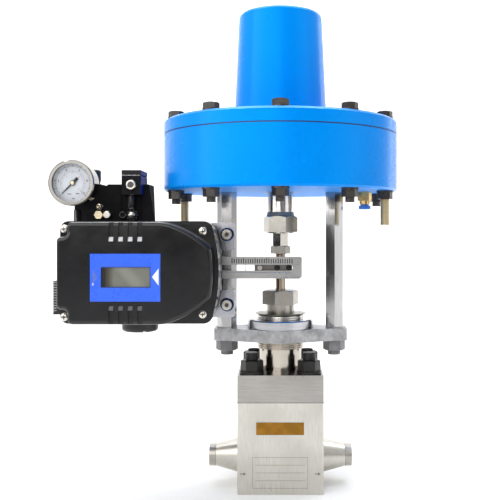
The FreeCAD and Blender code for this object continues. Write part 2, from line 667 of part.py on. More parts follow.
def make_yoke_plate():
    """A plate with a round middle, straight flanks and narrower ends for the pillars."""
    end = D.yoke_half_length
    half = D.yoke_end_half
    corner = D.yoke_corner
    radius = D.yoke_round_radius
    shoulder = radius * 0.62
    crest = radius * 0.785
    waist = end - radius * 0.42
    outline = [(-end + corner, -half), (-waist, -half), (-shoulder, -crest),
               (shoulder, -crest, radius), (waist, -half), (end - corner, -half),
               (end, -half + corner), (end, half - corner), (end - corner, half),
               (waist, half), (shoulder, crest), (-shoulder, crest, radius),
               (-waist, half), (-end + corner, half), (-end, half - corner),
               (-end, -half + corner)]
    hole = D.pillar_stud_radius + D.loose_gap
    node("yoke_plate", plate(outline, D.yoke_thickness, (0, 0, yoke_bottom),
                             holes=[(0, 0, D.yoke_thread_radius + D.thread_gap),
                                    (-D.pillar_offset, 0, hole), (D.pillar_offset, 0, hole)]))


def make_yoke_locknut():
    """A round nut with spanner notches, cut as a pattern."""
    bore = D.yoke_thread_radius + D.thread_gap
    edge = D.locknut_edge
    body = turned([(bore, 0), (D.locknut_radius, 0),
                   (D.locknut_radius, D.locknut_height - edge),
                   (D.locknut_radius - edge, D.locknut_height), (bore, D.locknut_height)],
                  (0, 0, yoke_top), turn(D.locknut_turn.value))
    doc.recompute()
    sketch = new_sketch(body, "XY_Plane")
    half = D.locknut_notch_width / 2
    draw(sketch, rectangle(-half, -D.locknut_radius - D.cut_margin, half,
                           -D.locknut_radius + D.locknut_notch_depth))
    doc.recompute()
    notch = body.newObject("PartDesign::Pocket", "Notch")
    notch.Profile = sketch
    notch.Reversed = True
    bind(notch, "Length", D.locknut_height)
    node("yoke_locknut", repeated(body, [notch], D.locknut_notches))


def bracket_screw_places():
    """Where the bracket is screwed to the left pillar."""
    x = -D.pillar_offset + D.bracket_screw_shift
    return [(x, lever_level + D.bracket_screw_rise), (x, lever_level - D.bracket_screw_drop)]


def make_pillar(label, x, angle, mount_hole=False):
    """A hexagonal pillar with a stud at each end; one has tapped holes for the bracket."""
    shaft = hexagon(D.pillar_flats, D.pillar_length, (x, 0, yoke_top), turn(angle))
    stud_end = yoke_bottom - D.pillar_stud_drop
    low_stud = cylinder(D.pillar_stud_radius, yoke_top - stud_end, (x, 0, stud_end))
    top_stud = cylinder(D.pillar_stud_radius, D.pillar_top_stud, (x, 0, case_bottom))
    pillar = fuse(shaft, low_stud, top_stud)
    if mount_hole:
        margin = D.cut_margin
        holes = [cylinder(D.bracket_screw_radius + D.thread_gap, D.bracket_screw_depth + margin,
                          (hole_x, bracket_back - margin, height), BACK)
                 for hole_x, height in bracket_screw_places()]
        pillar = cut(pillar, *holes)
    node(label, pillar)


def make_pillar_nuts():
    node("pillar_nuts", group([nut(D.stud_nut_flats, D.pillar_nut_height,
                                   D.pillar_stud_radius + D.thread_gap,
                                   (x, 0, yoke_bottom), DOWN)
                               for x in (-D.pillar_offset, D.pillar_offset)]))


# Actuator case

def bolt_places(indexes):
    """Where the case bolts stand: the first at the front, and then evenly round."""
    step = 2 * math.pi / D.case_bolt_count.value
    places = []
    for index in indexes:
        angle = step * index - math.pi / 2
        places.append((bolt_circle * math.cos(angle), bolt_circle * math.sin(angle)))
    return places


def ring_of_holes(length, bottom):
    """The cutters for the case bolts' holes, as one patterned pad."""
    body = doc.addObject("PartDesign::Body", "BoltHoles")
    body.AllowCompound = True
    sketch = new_sketch(body, "XY_Plane")
    draw_circle(sketch, 0, -bolt_circle, D.case_bolt_radius + D.hole_gap)
    doc.recompute()
    pad = body.newObject("PartDesign::Pad", "Hole")
    pad.Profile = sketch
    bind(pad, "Length", length + 2 * D.cut_margin)
    repeated(body, [pad], D.case_bolt_count)
    return place(body, (0, 0, bottom - D.cut_margin))


def make_lower_case():
    """A thick round pan: floor, hub for the rod's bush, and a deep rim that the bolts cross."""
    bottom = case_bottom
    floor = bottom + D.case_floor
    bore = D.bush_radius + D.running_gap
    margin = D.cut_margin
    pan = turned([(bore, bottom), (D.case_radius - D.case_edge, bottom),
                  (D.case_radius, bottom + D.case_edge), (D.case_radius, case_parting),
                  (cavity_radius, case_parting), (cavity_radius, floor),
                  (D.hub_radius, floor), (D.hub_radius, hub_top), (bore, hub_top)])
    air = cylinder(D.air_thread_radius + D.thread_gap, D.case_floor + 2 * margin,
                   (air_port_x, D.air_port_y, bottom - margin))
    pillars = [cylinder(D.pillar_stud_radius + D.thread_gap,
                        D.pillar_top_stud + D.hole_gap + margin, (x, 0, bottom - margin))
               for x in (-D.pillar_offset, D.pillar_offset)]
    holes = ring_of_holes(D.case_depth, bottom)
    node("lower_case", cut(pan, air, *pillars, holes))


def make_top_cover():
    cover = turned([(D.cover_hole_radius, cover_inside), (cavity_radius, cover_inside),
                    (cavity_radius, cover_bottom), (D.case_radius, cover_bottom),
                    (D.case_radius, cover_top - D.case_edge),
                    (D.case_radius - D.case_edge, cover_top), (D.cover_hole_radius, cover_top)])
    node("top_cover", cut(cover, ring_of_holes(D.cover_height, cover_bottom)))


def make_spring_barrel():
    """The conical barrel over the spring, open below and rounded at its crown."""
    fillet = D.barrel_fillet
    wall = D.barrel_wall
    lean = (D.barrel_foot_radius - D.barrel_top_radius) / D.barrel_height
    edge = D.barrel_top_radius + lean * fillet
    outline = [(D.barrel_foot_radius - wall, cover_top), (D.barrel_foot_radius, cover_top),
               (edge, barrel_top - fillet), (D.barrel_top_radius - fillet, barrel_top, fillet),
               (0, barrel_top), (0, barrel_top - D.barrel_crown),
               (D.barrel_top_radius - wall, barrel_top - D.barrel_crown)]
    node("spring_barrel", turned(outline))


def make_case_fasteners():
    """Bolts through cover and case, two of them longer, with washers above and below."""
    count = int(D.case_bolt_count.value)
    long_ones = (2, 2 + count // 2)
    washer = D.case_washer_thickness
    head_bottom = cover_top + washer
    nut_top = case_bottom - washer
    bore = D.case_bolt_radius + D.thread_gap

    def bolts(indexes, end):
        made = []
        for x, y in bolt_places(indexes):
            made.append(ring(D.case_washer_radius, bore, washer, (x, y, cover_top)))
            head = common(hexagon(D.case_bolt_flats, D.case_bolt_head, (x, y, head_bottom)),
                          chamfer_cap(D.case_bolt_flats, D.case_bolt_head, (x, y, head_bottom)))
            made.append(fuse(head, cylinder(D.case_bolt_radius, head_bottom - end, (x, y, end))))
        return group(made)

    short_ones = [index for index in range(count) if index not in long_ones]
    node("case_bolts", bolts(short_ones, case_bottom - D.case_bolt_reach))
    node("long_case_bolts", bolts(long_ones, case_bottom - D.long_bolt_reach))
    nuts = []
    for x, y in bolt_places(range(count)):
        nuts.append(nut(D.case_bolt_flats, D.case_nut_height, bore, (x, y, nut_top), DOWN,
                        chamfered=False))
        nuts.append(ring(D.case_washer_radius, bore, washer, (x, y, nut_top)))
    node("case_nuts", group(nuts))


def make_diaphragm():
    """Moulded rubber: a clamped rim, a sloping wall and a flat middle under the plate."""
    inner = D.rod_stud_radius + D.loose_gap
    rim = D.case_radius - D.loose_gap
    sheet = D.diaphragm_thickness
    body = turned([(inner, diaphragm_level), (diaphragm_flat, diaphragm_level),
                   (diaphragm_wall, case_parting), (rim, case_parting), (rim, cover_bottom),
                   (diaphragm_wall - sheet, cover_bottom),
                   (diaphragm_flat - sheet / 2, diaphragm_top), (inner, diaphragm_top)])
    node("diaphragm", cut(body, ring_of_holes(D.rim_rubber, case_parting)))


def make_spring():
    """The return spring, a coil of eight-sided wire drawn as straight runs round the axis."""
    wire = D.spring_wire.value
    bottom = (diaphragm_top + D.plate_thickness).value
    top = (barrel_top - D.barrel_crown - D.spring_seat_thickness).value
    low = bottom + wire / 2 + D.loose_gap.value
    high = top - wire / 2 - D.loose_gap.value
    radius = D.spring_radius.value
    steps = int(D.spring_turns.value * D.spring_facets.value)
    path = []
    for index in range(steps + 1):
        angle = 2 * math.pi * index / D.spring_facets.value
        path.append(Vector(radius * math.cos(angle), radius * math.sin(angle),
                           low + (high - low) * index / steps))
    section = []
    for index in range(9):
        angle = 2 * math.pi * index / 8
        section.append(Vector(radius + wire / 2 * math.cos(angle), 0,
                              low + wire / 2 * math.sin(angle)))
    coil = Part.makePolygon(path).makePipeShell([Part.makePolygon(section)], True, False, 1)
    piece = doc.addObject("Part::Feature", "Spring")
    piece.Shape = coil
    node("return_spring", piece)


def make_actuator_trim():
    """Spring seat, rod bush and the rod's seal."""
    seat_top = barrel_top - D.barrel_crown
    node("upper_spring_seat", ring(D.spring_seat_radius, D.stem_radius, D.spring_seat_thickness,
                                   (0, 0, seat_top - D.spring_seat_thickness)))
    bore = D.rod_radius + D.running_gap
    groove = bore + D.seal_radius * 2
    middle = (case_bottom + hub_top) / 2
    half = D.seal_radius + D.seal_slack
    outline = [(bore, case_bottom), (D.bush_radius, case_bottom), (D.bush_radius, hub_top),
               (D.bush_flange_radius, hub_top), (D.bush_flange_radius, hub_top + D.bush_flange),
               (bore, hub_top + D.bush_flange), (bore, middle + half), (groove, middle + half),
               (groove, middle - half), (bore, middle - half)]
    node("rod_bush", turned(outline))
    seal = doc.addObject("Part::Torus", "Torus")
    bind(seal, "Radius1", bore + D.seal_radius)
    bind(seal, "Radius2", D.seal_radius - D.running_gap)
    node("rod_seal", place(seal, (0, 0, middle)))


def make_air_fitting():
    """A straight push-in fitting: thread, hexagon and neck, open below for the tube."""
    x, y = air_port_x, D.air_port_y
    at = (x, y, case_bottom)
    margin = D.cut_margin
    hex_part = hexagon(D.air_hex_flats, D.air_hex_height, at, DOWN)
    neck = cylinder(D.air_neck_radius, D.air_hex_height + D.air_neck_height, at, DOWN)
    thread = cylinder(D.air_thread_radius, D.case_floor - 2 * margin, at)
    socket = cylinder(D.ring_sleeve_radius + D.loose_gap,
                      D.ring_sleeve_length + D.ring_gap + 2 * margin,
                      (x, y, neck_bottom - margin))
    through = cylinder(D.tube_radius * 0.7, case_bottom - neck_bottom + D.case_floor + 2 * margin,
                       (x, y, neck_bottom - margin))
    node("air_fitting", cut(fuse(hex_part, neck, thread), socket, through))


def make_release_ring():
    """The ring that frees the tube when it is pushed in."""
    top = neck_bottom - D.ring_gap
    bottom = top - D.ring_height
    edge = D.ring_edge
    node("release_ring", turned([(D.tube_radius, bottom), (D.ring_radius - edge, bottom),
                                 (D.ring_radius, bottom + edge), (D.ring_radius, top),
                                 (D.ring_sleeve_radius, top),
                                 (D.ring_sleeve_radius, top + D.ring_sleeve_length),
                                 (D.tube_radius, top + D.ring_sleeve_length)],
                                (air_port_x, D.air_port_y, 0)))


# Stem and what moves with it

def make_actuator_rod():
    """The thick rod from the coupling up through the case, with a stud at each end."""
    stud_top = rod_shoulder + D.rod_stud_length
    lower = rod_bottom - D.rod_lower_stud
    rod = turned([(0, lower), (D.rod_stud_radius, lower), (D.rod_stud_radius, rod_bottom),
                  (D.rod_radius, rod_bottom), (D.rod_radius, rod_shoulder),
                  (D.rod_stud_radius, rod_shoulder), (D.rod_stud_radius, stud_top),
                  (0, stud_top)])
    reach = D.rod_radius + D.cut_margin
    hole = cylinder(D.rod_hole_radius, 2 * reach, (0, -reach, rod_bottom + D.rod_hole_rise),
                    BACK)
    node("actuator_rod", cut(rod, hole))


def make_diaphragm_plates():
    """Washer below and plate above the diaphragm, held by the nut on the rod."""
    bore = D.rod_stud_radius + D.thread_gap
    washer = ring(D.lower_plate_radius, bore, D.lower_plate_thickness, (0, 0, rod_shoulder))
    top_plate = ring(diaphragm_flat - D.plate_margin, bore, D.plate_thickness,
                     (0, 0, diaphragm_top))
    holder = nut(D.plate_nut_flats, D.plate_nut_height, bore,
                 (0, 0, diaphragm_top + D.plate_thickness), chamfered=False)
    node("diaphragm_plates", group([washer, top_plate, holder]))


def make_coupling_nut():
    """The big coupling nut: washer face, hexagon and a short taper up to the rod."""
    margin = D.cut_margin
    hex_bottom = coupling_bottom + D.coupling_face
    hex_top = hex_bottom + D.coupling_hex
    face = cylinder(D.coupling_ring_radius, D.coupling_face + margin, (0, 0, coupling_bottom))
    at_hex = (0, 0, hex_bottom)
    body = common(hexagon(D.coupling_flats, D.coupling_hex, at_hex, turn(D.coupling_turn.value)),
                  chamfer_cap(D.coupling_flats, D.coupling_hex, at_hex))
    taper = cone(D.coupling_ring_radius, D.rod_radius, D.coupling_taper, (0, 0, hex_top))
    rod_bore = cylinder(D.rod_stud_radius + D.thread_gap,
                        D.rod_lower_stud + D.hole_gap + margin,
                        (0, 0, rod_bottom - D.rod_lower_stud - D.hole_gap))
    stud_bore = cylinder(D.adapter_stud_radius + D.thread_gap,
                         rod_bottom - coupling_bottom, (0, 0, coupling_bottom - margin))
    node("coupling_nut", cut(fuse(face, body, taper), rod_bore, stud_bore))


def make_stem_adapter():
    """A small hexagonal adapter with a stud that screws into the coupling."""
    margin = D.cut_margin
    body = hexagon(D.adapter_flats, D.adapter_height, (0, 0, adapter_bottom),
                   turn(D.adapter_turn.value))
    stud = cylinder(D.adapter_stud_radius, D.adapter_stud_length, (0, 0, coupling_bottom))
    bore = cylinder(D.stem_radius + D.thread_gap, stem_top - adapter_bottom + margin + D.hole_gap,
                    (0, 0, adapter_bottom - margin))
    node("stem_adapter", cut(fuse(body, stud), bore))


def make_stem_lock_nut():
    node("stem_lock_nut", nut(D.stem_nut_flats, D.stem_nut_height,
                              D.stem_radius + D.thread_gap, (0, 0, stem_nut_bottom)))


def make_valve_stem():
    """Stem and plug in one: a nose in the seat's bore, a cone on the seat and the long rod."""
    cone_shift = D.chamber_floor - D.seat_chamfer - D.seat_bore_radius + D.plug_gap
    nose_top = cone_shift + D.plug_nose_radius
    cone_top = cone_shift + D.plug_radius
    shoulder = cone_top + D.plug_shoulder
    taper = D.plug_radius - D.stem_radius
    edge = D.stem_edge
    node("valve_stem", turned([(0, nose_top - D.plug_nose_drop),
                               (D.plug_nose_radius * 0.75, nose_top - D.plug_nose_drop),
                               (D.plug_nose_radius, nose_top), (D.plug_radius, cone_top),
                               (D.plug_radius, shoulder), (D.stem_radius, shoulder + taper),
                               (D.stem_radius, stem_top - edge),
                               (D.stem_radius - edge, stem_top), (0, stem_top)]))


def make_feedback_clamp():
    """A two-screw clamp on the stem, split at the back, with the pin for the lever in front."""
    level = lever_level
    low = level - D.clamp_half_height
    high = level + D.clamp_half_height
    edge = D.stem_radius + D.clamp_wall
    face = D.clamp_front
    margin = D.cut_margin
    slit = D.clamp_slit
    outline = [(D.clamp_left, face), (D.clamp_right, face),
               (D.clamp_right, -D.stem_radius), (edge, D.clamp_back), (-edge, D.clamp_back),
               (-edge - D.clamp_wall, -D.stem_radius), (D.clamp_left, -D.stem_radius)]
    jaw = plate(outline, high - low, (0, 0, low), holes=[(0, 0, D.stem_radius + D.running_gap)])
    gap = box((-slit, D.stem_radius - margin, low - margin),
              (slit, D.clamp_back + margin, high + margin))
    screws = []
    sinks = []
    for x in (D.clamp_screw_left, D.clamp_screw_right):
        sinks.append(cylinder(D.clamp_screw_radius + D.thread_gap, D.clamp_screw_depth + margin,
                              (x, face - margin, level), BACK))
        shank = cylinder(D.clamp_screw_radius, D.clamp_screw_depth + D.clamp_screw_head,
                         (x, face - D.clamp_screw_head, level), BACK)
        head = cylinder(D.clamp_screw_head_radius, D.clamp_screw_head, (x, face, level), FRONT)
        socket = hexagon(D.clamp_screw_flats, D.clamp_screw_socket,
                         (x, face - D.clamp_screw_head + D.clamp_screw_socket, level), FRONT)
        screws.append(cut(fuse(shank, head), socket))
    pin_hole = cylinder(D.pin_radius + D.thread_gap, D.pin_depth + 2 * margin,
                        (D.pin_x, face - margin, level), BACK)
    node("feedback_clamp", cut(jaw, gap, pin_hole, *sinks))
    node("clamp_screws", group(screws))
    pin_end = box_back - D.pin_reach
    node("feedback_pin", cylinder(D.pin_radius, face + D.pin_depth - pin_end,
                                  (D.pin_x, pin_end, level), BACK))


def make_feedback_lever():
    """The slotted lever: long slot with a round end, a folded lip and the clamp on its shaft."""
    level = lever_level
    half = D.lever_half_width
    waist = D.lever_neck_half
    slot = D.slot_half_width
    edge = D.lever_corner
    left = pivot_x - D.lever_tail
    slot_start = pivot_x + D.slot_start
    neck = slot_start - waist
    tip = D.lever_tip
    outline = [(left + edge, level - waist), (neck, level - waist), (neck + edge, level - half),
               (tip - edge / 2, level - half), (tip, level - half + edge / 2),
               (tip, level + half - edge / 4), (tip - edge / 4, level + half),
               (neck + edge, level + half), (neck, level + waist), (left + edge, level + waist),
               (left, level + edge), (left, level - edge)]
    bend = D.slot_end - slot
    cutout = [(slot_start, level - slot), (bend, level - slot),
              (D.slot_end, level, slot * 1.0004), (bend, level + slot, slot * 1.0004),
              (slot_start, level + slot)]
    blade = plate(outline, D.lever_thickness, (0, lever_back, 0), FRONT, cutouts=[cutout])
    lip = box((D.lever_lip_start, lever_front - D.lever_lip_depth, level - half),
              (tip - edge / 2, lever_front + D.hole_gap, level - half + D.lever_lip_wall))
    hub_hole = cylinder(D.shaft_radius + D.thread_gap, D.lever_thickness + 2 * D.cut_margin,
                        (pivot_x, lever_back + D.cut_margin, level), FRONT)
    lever = cut(fuse(blade, lip), hub_hole)
    wire_start = pivot_x + D.lever_wire_start
    wire = cylinder(D.lever_wire_radius, D.lever_wire_end - wire_start,
                    (wire_start, lever_front - D.lever_wire_radius, level - slot - D.pin_radius),
                    RIGHT)
    node("feedback_lever", group([lever, wire]))
    shaft_end = lever_back + D.lever_thickness + D.shaft_nut_height - D.cut_margin
    shaft = cylinder(D.shaft_radius, shaft_end - box_back + D.shaft_inner_end,
                     (pivot_x, shaft_end, level), FRONT)
    shaft_nut = hexagon(D.shaft_nut_flats, D.shaft_nut_height, (pivot_x, lever_back, level), BACK)
    node("positioner_shaft", fuse(shaft, shaft_nut))


# Positioner

def case_outline(inset):
    """The positioner's outline in front view, drawn in evenly; its right side swells out."""
    left = box_left + inset
    right = box_right - inset
    bottom = box_bottom + inset
    top = box_top - inset
    small = D.box_corner_left
    big = D.box_corner_right
    half = (top - bottom) / 2 - big
    swell = (half * half + D.box_swell * D.box_swell) / (2 * D.box_swell)
    return [(left + small, bottom, small), (right - big, bottom), (right, bottom + big, big),
            (right, top - big, swell), (right - big, top, big), (left + small, top),
            (left, top - small, small), (left, bottom + small)]


def panel_outline():
    """The raised front: notched round the left screws, drawn in by long arcs at the right."""
    step = D.panel_step
    bottom = box_bottom + step
    top = box_top - step
    left = box_left + D.panel_left
    right = box_right - D.panel_right
    small = D.panel_corner
    notch = D.panel_notch_radius
    shelf = left + D.panel_notch_width
    high = top - D.panel_notch_height
    low = bottom + D.panel_notch_height
    first = math.radians(D.panel_arc_start.value)
    last = math.radians(D.panel_arc_end.value)
    end = math.radians(D.panel_tip_end.value)
    blend, arc, tip = D.panel_blend, D.panel_arc, D.panel_tip
    blend_x = blend * math.sin(first)
    blend_z = blend * (1 - math.cos(first))
    arc_x = blend_x + arc * (math.sin(last) - math.sin(first))
    arc_z = blend_z + arc * (math.cos(first) - math.cos(last))
    start = right - arc_x - tip * (math.sin(end) - math.sin(last))
    drop = arc_z + tip * (math.cos(last) - math.cos(end))
    swell = ((top - bottom) / 2 - drop) / math.cos(end)
    return [(shelf + small, bottom, small), (start, bottom),
            (start + blend_x, bottom + blend_z, blend), (start + arc_x, bottom + arc_z, arc),
            (right, bottom + drop, tip), (right, top - drop, swell),
            (start + arc_x, top - arc_z, tip),
            (start + blend_x, top - blend_z, arc), (start, top, blend),
            (shelf + small, top), (shelf, top - small, small), (shelf, high + notch),
            (shelf - notch, high, -notch), (left + small, high), (left, high - small, small),
            (left, low + small), (left + small, low, small), (shelf - notch, low),
            (shelf, low - notch, -notch), (shelf, bottom + small)]


def screw_corners():
    """Where the cover screws stand, the left pair first."""
    left = box_left + D.cover_screw_left
    right = box_right - D.cover_screw_right
    return [(left, box_bottom + D.cover_screw_left_in), (left, box_top - D.cover_screw_left_in),
            (right, box_bottom + D.cover_screw_right_in),
            (right, box_top - D.cover_screw_right_in)]


board_left = box_left + D.board_left
board_right = box_right - D.board_right
board_low = box_bottom + D.board_low
board_high = box_top - D.board_high
board_front = box_back - D.board_setback - D.board_thickness


def board_corners():
    """Where the posts carry the circuit board."""
    inset = D.post_inset
    return [(x, z) for x in (board_left + inset, board_right - inset)
            for z in (board_low + inset, board_high - inset)]


def spacer_places():
    """Where the positioner is screwed to the bracket through spacers."""
    return [(x, z) for x in (pivot_x - D.spacer_left, pivot_x + D.spacer_right)
            for z in (lever_level - D.spacer_low, lever_level + D.spacer_high)]


def make_positioner_base():
    """The rear housing: an open pan with corner bosses and posts for the circuit board."""
    inset = D.base_inset
    back = box_back
    seam = box_seam
    margin = D.cut_margin
    shell = plate(case_outline(inset), back - seam - D.base_lip, (0, back, 0), FRONT)
    flange = plate(case_outline(0), D.base_lip, (0, seam + D.base_lip, 0), FRONT)
    hollow = plate(case_outline(inset + D.box_wall), back - D.box_wall - seam + margin,
                   (0, back - D.box_wall, 0), FRONT)
    bosses = [cylinder(D.boss_radius, back - seam - margin, (x, back - margin, z), FRONT)
              for x, z in screw_corners()]
    posts = [cylinder(D.post_radius, D.board_setback - margin, (x, back - margin, z), FRONT)
             for x, z in board_corners()]
    pan = fuse(cut(fuse(shell, flange), hollow), *posts,
               common(fuse(*bosses), fuse(shell, flange)))
    depth = D.cover_screw_length / 2
    screws = [cylinder(D.cover_screw_radius + D.thread_gap, depth, (x, seam - margin, z), BACK)
              for x, z in screw_corners()]
    mounts = [cylinder(D.spacer_screw_radius + D.thread_gap, D.box_wall + 2 * margin,
                       (x, back + margin, z), FRONT) for x, z in spacer_places()]
    shaft_hole = cylinder(D.shaft_radius + D.running_gap, D.box_wall + 2 * margin,
                          (pivot_x, back + margin, lever_level), FRONT)
    node("positioner_base", cut(pan, *screws, *mounts, shaft_hole))


def make_positioner_insides():
    """Circuit board on its posts, pilot valve and the angle sensor round the shaft."""
    back = box_back - D.box_wall
    board = box((board_left, board_front, board_low),
                (board_right, board_front + D.board_thickness, board_high))
    slot = cylinder(D.shaft_radius + D.post_radius, D.board_thickness + 2 * D.cut_margin,
                    (pivot_x, board_front + D.board_thickness + D.cut_margin, lever_level), FRONT)
    sensor = ring(D.sensor_radius, D.shaft_radius + D.running_gap, D.sensor_length,
                  (pivot_x, back, lever_level), FRONT)
    node("circuit_board", group([cut(board, slot), sensor]))
    left = pivot_x - D.sensor_radius - D.pilot_width - D.pilot_gap
    pilot_low = lever_level - D.pilot_height / 2
    block = box((left, back - D.pilot_length, pilot_low),
                (left + D.pilot_width, back, pilot_low + D.pilot_height))
    nozzle = cylinder(D.nozzle_radius, D.nozzle_length,
                      (left + D.pilot_width / 2, back - D.pilot_length, lever_level), FRONT)
    node("pilot_valve", fuse(block, nozzle))


def make_positioner_seal():
    """The gasket in the seam between base and cover."""
    outer = plate(case_outline(D.box_seal), D.box_seal, (0, box_seam, 0), FRONT,
                  holes=[(x, z, D.cover_screw_radius + D.hole_gap) for x, z in screw_corners()])
    inner = plate(case_outline(D.base_inset + D.box_wall), D.box_seal + 2 * D.cut_margin,
                  (0, box_seam + D.cut_margin, 0), FRONT)
    node("cover_gasket", cut(outer, inner))


def make_positioner_cover():
    """The front cover: a flange for the screws and a raised panel with rounded edges."""
    margin = D.cut_margin
    start = box_seam - D.box_seal
    front = panel_face
    flange = plate(case_outline(0), start - flange_face, (0, start, 0), FRONT)
    panel = plate(panel_outline(), D.panel_depth + margin, (0, flange_face + margin, 0), FRONT)
    hollow = plate(case_outline(D.base_inset + D.box_wall),
                   start - flange_face - D.box_wall + margin, (0, start + margin, 0), FRONT)
    rounded = filleted(fuse(flange, panel), D.panel_edge,
                       lambda edge: near(edge.BoundBox.YMin, front)
                       and near(edge.BoundBox.YMax, front))
    bosses = common(fuse(*[cylinder(D.boss_radius, start - flange_face, (x, start, z), FRONT)
                           for x, z in screw_corners()]), flange)
    recess = box((label_left, front - margin, label_low),
                 (label_right, front + D.label_thickness, label_high))
    screen = box((screen_left, front - margin, screen_low),
                 (screen_right, front + D.label_thickness + D.screen_depth, screen_high))
    grooves = []
    for index in range(int(D.rib_count.value)):
        x = pivot_x - D.rib_first + D.rib_pitch * index
        for low, high in ((box_top - D.rib_length, box_top + margin),
                          (box_bottom - margin, box_bottom + D.rib_length)):
            grooves.append(box((x - D.rib_width / 2, front - margin, low),
                               (x + D.rib_width / 2, front + D.rib_depth, high)))
    screws = [cylinder(D.cover_screw_radius + D.loose_gap, start - flange_face + 2 * margin,
                       (x, start + margin, z), FRONT) for x, z in screw_corners()]
    shell = fuse(cut(rounded, hollow), bosses)
    node("positioner_cover", cut(cut(shell, *screws), recess, screen, *grooves))


def make_cover_screws():
    made = []
    socket = D.cover_screw_socket
    for x, z in screw_corners():
        shank = cylinder(D.cover_screw_radius, D.cover_screw_length, (x, flange_face, z), BACK)
        head = cylinder(D.cover_screw_head, D.cover_screw_proud, (x, flange_face, z), FRONT)
        recess = hexagon(D.cover_screw_flats, socket,
                         (x, flange_face - D.cover_screw_proud + socket, z), FRONT)
        made.append(cut(fuse(shank, head), recess))
    node("cover_screws", group(made))


label_left = pivot_x - D.label_left
label_right = pivot_x + D.label_right
label_low = lever_level - D.label_drop
label_high = lever_level + D.label_rise
screen_left = pivot_x - D.screen_left
screen_right = pivot_x - D.screen_right
screen_low = lever_level - D.screen_drop
screen_high = lever_level + D.screen_rise


def make_display():
    """The label plate with its window, and the display behind it."""
    back = panel_face + D.label_thickness
    gap = D.label_gap
    slack = D.screen_gap
    node("label_plate", plate(rectangle(label_left + gap, label_low + gap,
                                        label_right - gap, label_high - gap),
                              D.label_thickness, (0, back, 0), FRONT,
                              cutouts=[rectangle(screen_left, screen_low,
                                                 screen_right, screen_high)]))
    node("display", box((screen_left + slack, panel_face + D.screen_recess, screen_low + slack),
                        (screen_right - slack, back + D.screen_depth, screen_high - slack)))


def make_plugs():
    """A slotted cable plug below, and a ribbed vent cover at the left."""
    margin = D.cut_margin
    edge = D.cable_plug_edge
    plug_x = pivot_x - D.cable_plug_x
    plug_y = box_back - D.cable_plug_setback
    seat = box_bottom + D.base_inset
    cable_plug = turned([(0, 0), (D.cable_plug_radius, 0),
                         (D.cable_plug_radius, D.cable_plug_length - edge),
                         (D.cable_plug_radius - edge, D.cable_plug_length, edge),
                         (0, D.cable_plug_length)], (plug_x, plug_y, seat), DOWN)
    half_slot = D.cable_plug_slot / 2
    reach = D.cable_plug_radius + margin
    slot = plate(rectangle(-half_slot, -reach, half_slot, reach),
                 D.cable_plug_slot_depth + margin,
                 (plug_x, plug_y, seat - D.cable_plug_length - margin),
                 turn(D.cable_plug_turn.value))
    side = box_left + D.base_inset
    outside = side - D.side_cover_length
    front = box_middle_y - D.side_cover_depth / 2
    low = lever_level - D.side_cover_drop - D.side_cover_height / 2
    side_cover = box((outside, front, low),
                     (side, front + D.side_cover_depth, low + D.side_cover_height))
    pitch = D.side_cover_height / D.side_cover_ribs
    groove = D.side_cover_groove
    grooves = []
    for index in range(1, int(D.side_cover_ribs.value)):
        level = low + pitch * index - groove / 2
        grooves.append(box((outside - margin, front - margin, level),
                           (side, front + groove, level + groove)))
    node("port_plugs", group([cut(cable_plug, slot), cut(side_cover, *grooves)]))


def make_bracket():
    """The plate between pillar and positioner, open at the right where the lever passes."""
    right = -D.pillar_offset + D.pillar_flats / 2
    left = pivot_x - D.bracket_left
    bottom = lever_level - D.bracket_drop
    top = lever_level + D.bracket_rise
    window_left = -D.pillar_offset - D.window_left
    window_low = lever_level - D.window_drop
    window_high = lever_level + D.window_rise
    c = D.bracket_corner
    outline = [(left + c, bottom, c), (right - c, bottom), (right, bottom + c, c),
               (right, window_low - c), (right - c, window_low, c), (window_left, window_low),
               (window_left, window_high), (right - c, window_high),
               (right, window_high + c, c), (right, top - c), (right - c, top, c),
               (left + c, top), (left, top - c, c), (left, bottom + c)]
    hole = D.bracket_screw_radius + D.hole_gap
    holes = [(x, z, hole) for x, z in bracket_screw_places() + spacer_places()]
    bracket = plate(outline, D.bracket_thickness, (0, bracket_back, 0), FRONT, holes=holes)
    spacers = [ring(D.spacer_radius, hole, D.spacer_length, (x, bracket_front, z), FRONT)
               for x, z in spacer_places()]
    node("positioner_bracket", fuse(bracket, *spacers))


def make_bracket_screws():
    """Socket screws into the pillar, screws into the positioner, and its ground screw."""
    screws = []
    washer = D.bracket_washer
    socket = D.bracket_screw_socket
    for x, z in bracket_screw_places():
        seat = bracket_front - washer
        head = cylinder(D.bracket_screw_head, D.bracket_screw_height, (x, seat, z), FRONT)
        flange = cylinder(D.bracket_washer_radius, washer, (x, bracket_front, z), FRONT)
        shank = cylinder(D.bracket_screw_radius, D.bracket_screw_depth + D.bracket_thickness,
                         (x, bracket_front, z), BACK)
        recess = hexagon(D.bracket_screw_flats, socket,
                         (x, seat - D.bracket_screw_height + socket, z), FRONT)
        screws.append(cut(fuse(head, flange, shank), recess))
    for x, z in spacer_places():
        shank = cylinder(D.spacer_screw_radius, bracket_back - box_back + D.box_wall,
                         (x, bracket_back, z), FRONT)
        head = hexagon(D.spacer_screw_flats, D.spacer_screw_head, (x, bracket_back, z), BACK)
        screws.append(fuse(shank, head))
    side = box_left + D.base_inset
    level = lever_level - D.ground_screw_drop
    shank_length = D.ground_screw_length - D.ground_head
    screws.append(fuse(cylinder(D.ground_shank_radius, D.ground_screw_length,
                                (side, box_middle_y, level), LEFT),
                       hexagon(D.ground_screw_flats, D.ground_head,
                               (side - shank_length, box_middle_y, level), LEFT)))
    node("bracket_screws", group(screws))


# Air supply

port_level = reg_bottom + D.port_rise
reg_face = -D.reg_front


